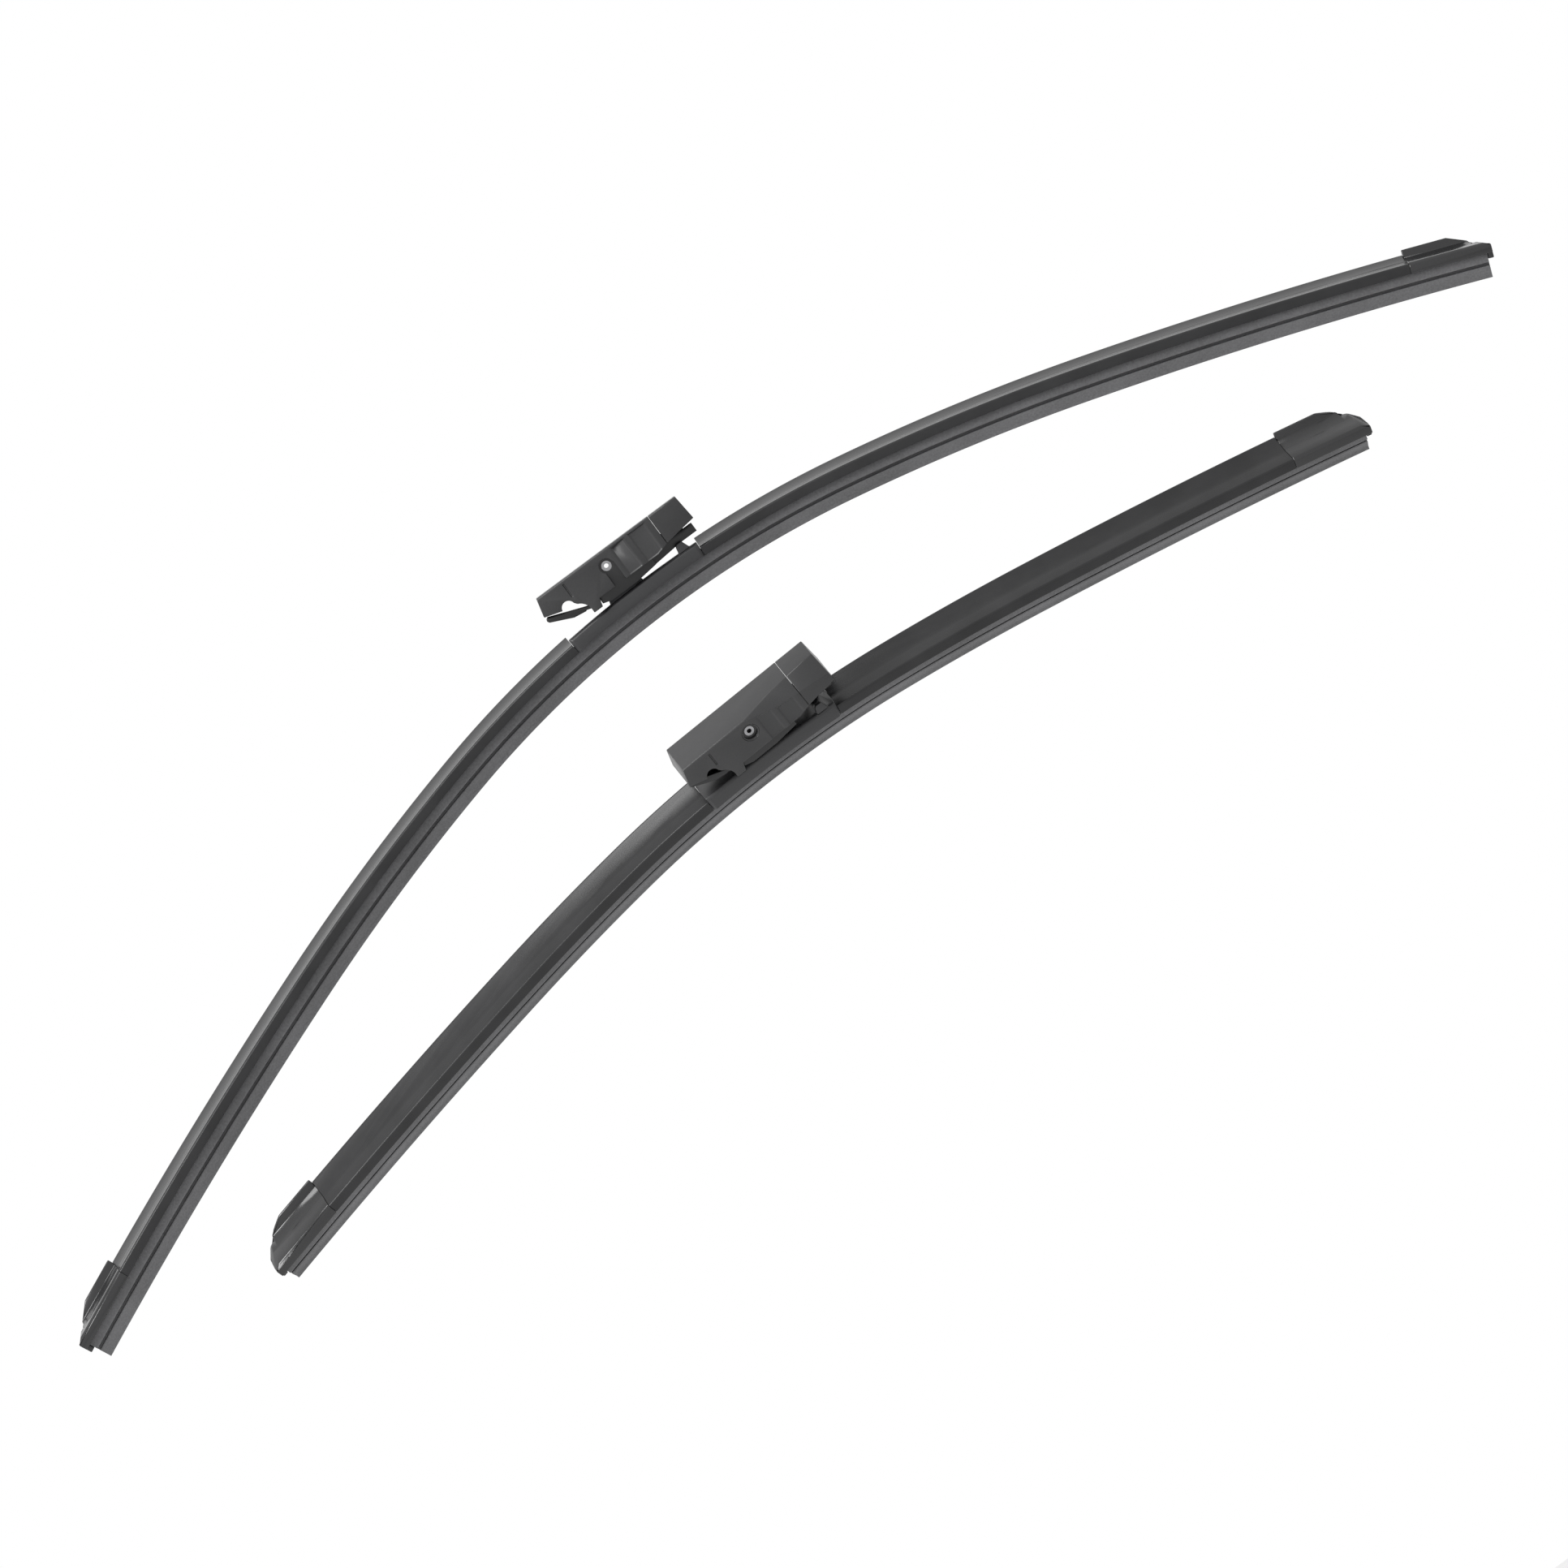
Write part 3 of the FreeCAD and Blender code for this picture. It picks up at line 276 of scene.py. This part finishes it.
# %% [markdown]
# Three pieces are steel. The rails are cold-rolled spring strip, with rolling marks along
# their length. The carrier is pressed from sheet and zinc plated, which gives a mottled grey.
# The rivet is turned, so its marks run round it. All are metallic, so their colour is the
# colour of their reflection.

# %% Steels
def steel(name, dark, light, roughness, mark_scale, mark_depth):
    """Steel whose marks have their own number per metre along each axis."""
    material, tree, shader, place = new_finish(name)
    stretched = add_node(tree, "ShaderNodeVectorMath", {"operation": "MULTIPLY"})
    tree.links.new(place, stretched.inputs[0])
    stretched.inputs[1].default_value = mark_scale
    marks = add_node(tree, "ShaderNodeTexNoise", Vector=stretched.outputs[0], Scale=1.0, Detail=3.0)
    colour = add_node(tree, "ShaderNodeMix", {"data_type": "RGBA"})
    tree.links.new(marks.outputs["Fac"], colour.inputs["Factor"])
    colour.inputs[6].default_value = linear_colour(dark)
    colour.inputs[7].default_value = linear_colour(light)
    tree.links.new(colour.outputs[2], shader.inputs["Base Color"])
    shader.inputs["Metallic"].default_value = 1.0
    shader.inputs["Roughness"].default_value = roughness
    relief = add_node(
        tree, "ShaderNodeBump", Height=marks.outputs["Fac"], Strength=0.4,
        Distance=mark_depth * MM)
    tree.links.new(relief.outputs[0], shader.inputs["Normal"])
    return material


# Hardened strip, dark from its heat treatment, with fine lines along it.
finishes["spring_steel"] = steel(
    "rolled_spring_steel", "4a4a4c", "5e5e60", 0.35, (60, 4000, 60), 0.01)
# Zinc plate over pressed sheet: an even, mottled mid grey.
finishes["plated_steel"] = steel(
    "zinc_plated_steel", "58595b", "6f7072", 0.45, (700, 700, 700), 0.01)
# Bare turned steel, the brightest spot of the adapter.
finishes["rivet_steel"] = steel(
    "turned_steel", "8c8c8e", "a8a8aa", 0.35, (300, 5000, 300), 0.006)
print("steels", [finishes[slot].name for slot in ("spring_steel", "plated_steel", "rivet_steel")])

# %% [markdown]
# The record of the model says which finish each piece takes and which body it moves with.
# One function ties a new piece to both, and hides the plain piece that it stands for.

# %% Fitting a piece to the model
record = frame["record"]
slot_of = {row["node"]: row["material_slot"] for row in record["subparts"]}
body_of = {node: body for body, nodes in record["behaviour"]["bodies"].items() for node in nodes}


def finish_piece(mesh, node):
    """Object for a finished mesh that stands for a node, with the node's body and finish."""
    piece = bpy.data.objects.new(node + "_finished", mesh)
    scene.collection.objects.link(piece)
    mesh.materials.clear()
    mesh.materials.append(finishes[slot_of[node]])
    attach(piece, body_of[node])
    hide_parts(node)
    return piece


def shade_by_angle(shape, limit_degrees):
    """Smooth shading over every edge that turns by less than a limit."""
    for face in shape.faces:
        face.smooth = True
    for edge in shape.edges:
        edge.smooth = edge.is_manifold and edge.calc_face_angle() < math.radians(limit_degrees)


print("pieces to finish", len(slot_of))

# %% [markdown]
# The blade's bow is three arcs on each side, each flatter than the one before. This cell says
# where a cross-section lies along that bow, in the blade's own millimetres, and where the
# blade itself lies in the model. Each blade is swung a little on its rivet, as it hangs.

# %% The bow and its frame
BOW_ARCS = {
    "long": ((78.0, 362.0), (161.0, 763.0), (600.0, 1710.0)),
    "short": ((53.0, 386.0), (104.5, 842.0), (600.0, 2150.0)),
}
RIVET_OFFSET = {"long": 0.0, "short": 3.75}
REST_SWING = {"long": -1.4, "short": 2.0}
PIVOT_HEIGHT = 24.2
joints = {row["name"]: row for row in record["behaviour"]["joints"]}
mounts = {row["name"]: row for row in record["mounts"]}


def bow_place(blade, distance):
    """Where a section lies at a distance from the blade's middle, in millimetres."""
    side = -1.0 if distance < 0.0 else 1.0
    place = Vector((0.0, 0.0, 0.0))
    angle = 0.0
    here = 0.0
    for reach, radius in BOW_ARCS[blade]:
        length = max(0.0, min(abs(distance), reach) - here)
        turned = angle + length / radius
        place.x += side * radius * (math.sin(turned) - math.sin(angle))
        place.z -= radius * (math.cos(angle) - math.cos(turned))
        angle = turned
        here += length
    return Matrix.Translation(place) @ Matrix.Rotation(side * angle, 4, "Y")


def blade_place(blade):
    """From millimetres in the blade's own frame to metres in the model's frame."""
    pivot = Vector(joints[blade + "_blade_pivot"]["pos_m"])
    across = Vector(joints[blade + "_blade_pivot"]["axis"])
    up = Vector(mounts[blade + "_arm_seat"]["axis"])
    turn = Matrix((across.cross(up), across, up)).transposed().to_4x4()
    swing = Matrix.Rotation(math.radians(REST_SWING[blade]), 4, "Y")
    rivet = Matrix.Translation((0.0, 0.0, -PIVOT_HEIGHT))
    return (Matrix.Translation(pivot) @ turn @ swing @ Matrix.Scale(MM, 4) @ rivet
            @ bow_place(blade, RIVET_OFFSET[blade]).inverted())


for blade in BOW_ARCS:
    print(blade, "blade's end in its own frame", [round(value, 1) for value in bow_place(blade, 225.0).translation])

# %% [markdown]
# The wiping rubber and the spoilers are one cross-section all along. So the section is drawn
# once, as a few corners that are rounded by a bevel, and spun about one arc's centre after
# another. The same shape could be a curve with a bevel object, but a spin keeps the section
# exactly upright and ends each strip in a closed face.

# %% A section spun along the bow
SPIN_STEP_MM = 4.0
CORNER_STEPS = 4
STRIP_SMOOTH_DEGREES = 40.0


def spun_strip(corners, blade, start, end):
    """Closed strip from section corners (y, z, rounding), between two places along the bow."""
    strip = bmesh.new()
    points = [strip.verts.new((0.0, y, z)) for y, z, rounding in corners]
    strip.faces.new(points)
    for radius in sorted({rounding for y, z, rounding in corners if rounding > 0.0}):
        chosen = [point for point, corner in zip(points, corners) if corner[2] == radius]
        bmesh.ops.bevel(
            strip, geom=chosen, offset=radius, affect="VERTICES", segments=CORNER_STEPS,
            profile=0.5, clamp_overlap=False, material=-1)
    bmesh.ops.transform(strip, matrix=bow_place(blade, start), verts=strip.verts[:])
    moving = strip.verts[:] + strip.edges[:] + strip.faces[:]
    reaches = [side * reach for reach, radius in BOW_ARCS[blade] for side in (-1.0, 1.0)]
    stops = [start] + sorted(reach for reach in reaches if start < reach < end) + [end]
    for here, there in zip(stops, stops[1:]):
        middle = abs(here + there) / 2.0
        radius = next(radius for reach, radius in BOW_ARCS[blade] if middle < reach)
        spun = bmesh.ops.spin(
            strip, geom=moving, cent=bow_place(blade, here) @ Vector((0.0, 0.0, -radius)),
            axis=(0.0, 1.0, 0.0), dvec=(0.0, 0.0, 0.0), angle=(there - here) / radius,
            steps=math.ceil((there - here) / SPIN_STEP_MM), use_merge=False, use_duplicate=False)
        moving = spun["geom_last"]
    bmesh.ops.recalc_face_normals(strip, faces=strip.faces[:])
    return strip


def strip_mesh(strip, blade, name):
    """Mesh of a strip, shaded and moved to its place in the model."""
    shade_by_angle(strip, STRIP_SMOOTH_DEGREES)
    bmesh.ops.transform(strip, matrix=blade_place(blade), verts=strip.verts[:])
    mesh = bpy.data.meshes.new(name)
    strip.to_mesh(mesh)
    strip.free()
    return mesh


print("longest strip has about", round(600.0 / SPIN_STEP_MM), "steps")

# %% [markdown]
# The rubber's section, seen on its cut end, is a wedge that ends in a narrow lip, a thin neck
# that lets the wedge flip over at each stroke, a wide shoulder, and a head with a groove on
# each side for the two rails. Its corners are only just rounded, because they are pressed,
# apart from the shoulder's lower edge, which catches a thin line of light.

# %% Wiping rubber
PRESSED_EDGE = 0.12
SHOULDER_EDGE = 0.35
WEDGE_HALF = 2.0
RUBBER_HALF = (
    (0.35, 0.0, 0.08), (0.35, 1.2, 0.2), (WEDGE_HALF, 3.6, PRESSED_EDGE), (WEDGE_HALF, 4.1, PRESSED_EDGE),
    (0.6, 4.1, 0.2), (0.6, 5.1, 0.2), (3.3, 5.1, SHOULDER_EDGE), (3.3, 8.7, PRESSED_EDGE),
    (0.75, 8.7, 0.0), (0.75, 9.7, 0.0), (1.9, 9.7, PRESSED_EDGE), (1.9, 10.6, 0.3),
)
BLADE_LENGTH = {"long": 600.0, "short": 450.0}


def both_sides(half):
    """Whole section from its right half, listed from bottom to top."""
    return list(half) + [(-y, z, rounding) for y, z, rounding in reversed(half)]


for blade, length in BLADE_LENGTH.items():
    strip = spun_strip(both_sides(RUBBER_HALF), blade, -length / 2.0, length / 2.0)
    node = blade + "_rubber_element"
    piece = finish_piece(strip_mesh(strip, blade, node), node)
    print(piece.name, "faces", len(piece.data.polygons))

# %% [markdown]
# The spoiler clips over the rails with two claws. In front it has a flat step, and behind
# that a hollow sweep that rises to a ridge, so that the wind presses the blade down. The
# hollow is one wide bevel of a single corner. Each end is cut square at the base cover, and on
# a slant where the cap begins. A bisecting plane cuts off what is past the slant and fills
# the cut.

# %% Spoilers
CAP_SEAM = 25.5
SEAM_GAP = 0.1
SEAM_ROOM = 1.0
SEAM_SLANT = math.radians(5.0)
CLAW_OUTER = 5.45
BASE_ENDS = {"left": 24.0, "right": 27.0}
SPOILER_SECTION = (
    (-5.45, 8.0, 0.15), (-5.45, 10.9, 0.3), (-4.95, 11.5, 0.35), (0.4, 12.0, 0.8), (4.0, 12.95, 3.2),
    (7.6, 14.6, 0.15), (8.1, 14.6, 0.25), (8.4, 14.3, 0.25), (6.475, 12.8, 1.2), (5.45, 11.0, 0.3),
    (5.45, 8.0, 0.15),
    (3.45, 8.0, 0.1), (3.45, 8.7, 0.0), (4.55, 8.7, 0.0), (4.55, 9.7, 0.0), (2.05, 9.7, 0.0),
    (2.05, 10.75, 0.0), (-2.05, 10.75, 0.0), (-2.05, 9.7, 0.0), (-4.55, 9.7, 0.0), (-4.55, 8.7, 0.0),
    (-3.45, 8.7, 0.0), (-3.45, 8.0, 0.1),
)


def cut_at_seam(strip, blade, side):
    """Cut off what lies past the cap's slanted seam, and close the cut."""
    seam = bow_place(blade, side * (BLADE_LENGTH[blade] / 2.0 - CAP_SEAM))
    outward = seam.to_3x3() @ Vector((side * math.cos(SEAM_SLANT), math.sin(SEAM_SLANT), 0.0))
    bmesh.ops.bisect_plane(
        strip, geom=strip.verts[:] + strip.edges[:] + strip.faces[:], dist=1e-5,
        plane_co=seam @ Vector((-side * SEAM_GAP, -CLAW_OUTER, 0.0)), plane_no=outward, clear_outer=True)
    open_edges = [edge for edge in strip.edges if edge.is_boundary]
    bmesh.ops.holes_fill(strip, edges=open_edges, sides=0)
    bmesh.ops.recalc_face_normals(strip, faces=strip.faces[:])


for blade, length in BLADE_LENGTH.items():
    for side, end in ((-1, "left"), (1, "right")):
        inner = side * (BASE_ENDS[end] + SEAM_GAP) + RIVET_OFFSET[blade]
        outer = side * (length / 2.0 - CAP_SEAM + SEAM_ROOM)
        strip = spun_strip(SPOILER_SECTION, blade, min(inner, outer), max(inner, outer))
        cut_at_seam(strip, blade, side)
        node = blade + "_spoiler_" + end
        piece = finish_piece(strip_mesh(strip, blade, node), node)
        print(piece.name, "faces", len(piece.data.polygons))

# %% [markdown]
# The cap's nose slopes away at the back, in three flat facets, and on top, so that the wind
# slides off. Four planes cut them, one after another, and each cut is closed again. Each
# plane is given by a point and the way out, as distances along the blade from the rubber's
# end, across it towards the back, and up.

# %% Cap noses
CUT_TOLERANCE = 1e-4
NOSE_FACETS = (
    ((2.0, -3.0, 0.0), (5.2, 0.7, 0.0)),
    ((1.3, 2.2, 0.0), (3.2, 2.7, 0.0)),
    ((-1.4, 5.4, 0.0), (2.9, 5.6, 0.0)),
    ((2.0, 0.0, 10.8), (1.4, 0.0, 3.5)),
)


def carve_nose(shape, blade, side):
    """Cut a cap's nose to its facets and close each cut."""
    end = bow_place(blade, side * BLADE_LENGTH[blade] / 2.0)
    tip = Matrix.Scale(1.0 / MM, 4) @ blade_place(blade) @ end
    for (along, across, up), (out_along, out_across, out_up) in NOSE_FACETS:
        bmesh.ops.bisect_plane(
            shape, geom=shape.verts[:] + shape.edges[:] + shape.faces[:], dist=CUT_TOLERANCE,
            clear_outer=True, plane_co=tip @ Vector((side * along, across, up)),
            plane_no=(tip.to_3x3() @ Vector((side * out_along, out_across, out_up))).normalized())
        open_edges = [edge for edge in shape.edges if edge.is_boundary]
        bmesh.ops.holes_fill(shape, edges=open_edges, sides=0)
    bmesh.ops.recalc_face_normals(shape, faces=shape.faces[:])


print("facets on each nose", len(NOSE_FACETS))

# %% [markdown]
# The housing's long side walls would sink as they cool if they were one thick plate, so they
# have sunken panels with a rib between them. A panel could be cut out with a boolean, but an
# inset of the wall's own face gives a clean sloping border. The wall is first divided by
# planes where a panel starts and ends.

# %% Sunken panels
HOUSING_HALF = 8.8
SIDE_PANELS = ((4.2, 9.8), (11.6, 18.2))
PANEL_BORDER = 0.5
PANEL_DEPTH = 0.5
WALL_FACING = 0.999
WALL_TOLERANCE = 0.1


def side_wall(shape, side, middle):
    """Faces of a housing's outer wall on one side."""
    return [
        face for face in shape.faces
        if face.normal.dot(side) > WALL_FACING
        and (face.calc_center_median() - middle).dot(side) > HOUSING_HALF - WALL_TOLERANCE]


def sink_panels(shape, blade):
    """Sink the panels into both sides of a housing, each inside a sloping border."""
    seat = mounts[blade + "_arm_seat"]
    up = Vector(seat["axis"])
    across = Vector(joints[blade + "_blade_pivot"]["axis"])
    along = across.cross(up)
    middle = Vector(seat["pos_m"]) / MM
    for low, high in SIDE_PANELS:
        for side in (across, -across):
            for place in (low, high):
                parts = set()
                for face in side_wall(shape, side, middle):
                    parts.add(face)
                    parts.update(face.edges)
                    parts.update(face.verts)
                bmesh.ops.bisect_plane(
                    shape, geom=list(parts), dist=CUT_TOLERANCE,
                    plane_co=middle + along * place, plane_no=along)
            panel = [
                face for face in side_wall(shape, side, middle)
                if low < (face.calc_center_median() - middle).dot(along) < high]
            bmesh.ops.inset_region(
                shape, faces=panel, thickness=PANEL_BORDER, depth=-PANEL_DEPTH,
                use_even_offset=True, use_boundary=True)


print("panels on each side", len(SIDE_PANELS))

# %% [markdown]
# The caps, the adapters and the base covers are moulded, and no moulded edge is sharp: the
# mould is cut with a round tool, and a sharp edge would chip. Their shapes are right in the
# model, so each one is copied, its loose triangles are joined into whole faces, and every
# edge that turns by more than 25 degrees is bevelled by a few tenths of a millimetre. That
# edge is what catches the light. Working in millimetres keeps the joining distance sensible.

# %% Moulded edges
EDGE_ROUNDING = {
    "end_cap_left": 0.3, "end_cap_right": 0.3, "base_cover": 0.25, "adapter_housing": 0.22,
    "adapter_insert": 0.15, "end_cover": 0.25, "release_lever": 0.2, "carrier": 0.1,
}
JOINING_MM = 0.002
FLAT_DEGREES = 0.6
SHARP_DEGREES = 25.0
MOULDED_SMOOTH_DEGREES = 50.0


def softened_mesh(node, rounding):
    """Copy of a node's mesh with whole faces and rounded edges."""
    shape = bmesh.new()
    shape.from_mesh(bpy.data.objects[node].data)
    bmesh.ops.scale(shape, vec=(1.0 / MM,) * 3, verts=shape.verts[:])
    bmesh.ops.remove_doubles(shape, verts=shape.verts[:], dist=JOINING_MM)
    blade, kind = node.split("_", 1)
    if kind.startswith("end_cap"):
        carve_nose(shape, blade, -1 if kind.endswith("left") else 1)
    bmesh.ops.dissolve_limit(
        shape, angle_limit=math.radians(FLAT_DEGREES), verts=shape.verts[:], edges=shape.edges[:])
    if kind == "adapter_housing":
        sink_panels(shape, blade)
    sharp = [
        edge for edge in shape.edges
        if edge.is_manifold and edge.calc_face_angle() > math.radians(SHARP_DEGREES)]
    bmesh.ops.bevel(
        shape, geom=sharp, offset=rounding, affect="EDGES", segments=2, profile=0.5,
        clamp_overlap=False, material=-1)
    shade_by_angle(shape, MOULDED_SMOOTH_DEGREES)
    bmesh.ops.scale(shape, vec=(MM,) * 3, verts=shape.verts[:])
    mesh = bpy.data.meshes.new(node)
    shape.to_mesh(mesh)
    shape.free()
    return mesh


for blade in BLADE_LENGTH:
    for kind, rounding in EDGE_ROUNDING.items():
        node = blade + "_" + kind
        piece = finish_piece(softened_mesh(node, rounding), node)
        print(piece.name, "faces", len(piece.data.polygons))

# %% [markdown]
# The rails and the rivet keep their own solids, which are right as they are: sheared strip
# and a turned tube have crisp edges. They only get their finish.

# %% Rails and rivets
for blade in BLADE_LENGTH:
    for kind in ("rail_front", "rail_rear", "pivot_rivet"):
        node = blade + "_" + kind
        for material_place in bpy.data.objects[node].material_slots:
            material_place.material = finishes[slot_of[node]]
print("kept as they are: rails and rivets")

# %% [markdown]
# The studio is plain: a pale room, a pale floor and two softboxes. The room is white where
# the camera or a reflection sees it, and dimmer as a source of light, so that dark pieces stay
# dark on a white ground. The floor gets the same treatment with a little glow that only the
# camera sees, so it keeps the shadows. The pair hangs on its wiper arms, which aren't part of
# it, so the floor lies well below it.

# %% Room and floor
ROOM_LIGHT = 0.5
world = bpy.data.worlds.new("studio")
scene.world = world
world.use_nodes = True
tree = world.node_tree
rays = add_node(tree, "ShaderNodeLightPath")
seen = add_node(tree, "ShaderNodeMath", {"operation": "MAXIMUM"})
tree.links.new(rays.outputs["Is Camera Ray"], seen.inputs[0])
tree.links.new(rays.outputs["Is Glossy Ray"], seen.inputs[1])
seen_through = add_node(tree, "ShaderNodeMath", {"operation": "MAXIMUM"})
tree.links.new(seen.outputs[0], seen_through.inputs[0])
tree.links.new(rays.outputs["Is Transmission Ray"], seen_through.inputs[1])
strength = add_node(
    tree, "ShaderNodeMapRange", Value=seen_through.outputs[0], To_Min=ROOM_LIGHT, To_Max=1.0)
background = tree.nodes["Background"]
background.inputs["Color"].default_value = (1.0, 1.0, 1.0, 1.0)
tree.links.new(strength.outputs[0], background.inputs["Strength"])

FLOOR_DEPTH = 0.56
FLOOR_HALF = 3.0
FLOOR_GLOW = 0.3
MOTTLE_PER_METRE = 3.0
floor_finish, tree, shader, place = new_finish("pale_studio_floor")
mottle = add_node(tree, "ShaderNodeTexNoise", Vector=place, Scale=MOTTLE_PER_METRE)
tone = add_node(tree, "ShaderNodeMix", {"data_type": "RGBA"})
tree.links.new(mottle.outputs["Fac"], tone.inputs["Factor"])
tone.inputs[6].default_value = linear_colour("f2f2f2")
tone.inputs[7].default_value = linear_colour("f6f6f6")
tree.links.new(tone.outputs[2], shader.inputs["Base Color"])
shader.inputs["Roughness"].default_value = 0.9
shader.inputs["Emission Color"].default_value = (1.0, 1.0, 1.0, 1.0)
to_camera = add_node(tree, "ShaderNodeLightPath").outputs["Is Camera Ray"]
glow = add_node(tree, "ShaderNodeMapRange", Value=to_camera, To_Min=0.0, To_Max=FLOOR_GLOW)
tree.links.new(glow.outputs[0], shader.inputs["Emission Strength"])
floor_shape = bmesh.new()
bmesh.ops.create_grid(floor_shape, x_segments=1, y_segments=1, size=FLOOR_HALF)
bmesh.ops.translate(floor_shape, vec=(0.0, 0.0, -FLOOR_DEPTH), verts=floor_shape.verts[:])
floor_mesh = bpy.data.meshes.new("floor")
floor_shape.to_mesh(floor_mesh)
floor_shape.free()
floor_mesh.materials.append(floor_finish)
floor = bpy.data.objects.new("floor", floor_mesh)
scene.collection.objects.link(floor)
print("floor at", -FLOOR_DEPTH, "m")

# %% [markdown]
# Both softboxes stand to the left, because left-facing edges are bright and right-facing ones
# dark. The stronger one is in front and lights the faces. The weaker one is higher and puts a
# sheen on the spoilers' hollows. Their places follow the picture's own directions, so they
# turn with the camera's framing.

# %% Softboxes
def softbox(name, right, up, forward, width, height, watts):
    """Area light aimed at the blades, placed in metres by the picture's own directions."""
    lamp = bpy.data.lights.new(name, "AREA")
    lamp.shape = "RECTANGLE"
    lamp.size = width
    lamp.size_y = height
    lamp.energy = watts
    place = aim + picture_right * right + picture_up * up + towards_camera * forward
    box = bpy.data.objects.new(name, lamp)
    scene.collection.objects.link(box)
    facing = (aim - place).to_track_quat("-Z", "Y")
    box.matrix_world = Matrix.Translation(place) @ facing.to_matrix().to_4x4()
    box.visible_camera = False


softbox("front_softbox", -1.9, 0.3, 1.1, 0.9, 0.9, 36.0)
softbox("top_softbox", -1.6, 1.7, 0.9, 0.8, 0.8, 16.0)
print("lamps", [light.name for light in bpy.data.lights])

# %% [markdown]
# Last, colours are shown as they are, without a film look, and the size of the finished pair
# is kept beside the model's own, which it must not exceed.

# %% Finish
scene.view_settings.view_transform = "Standard"
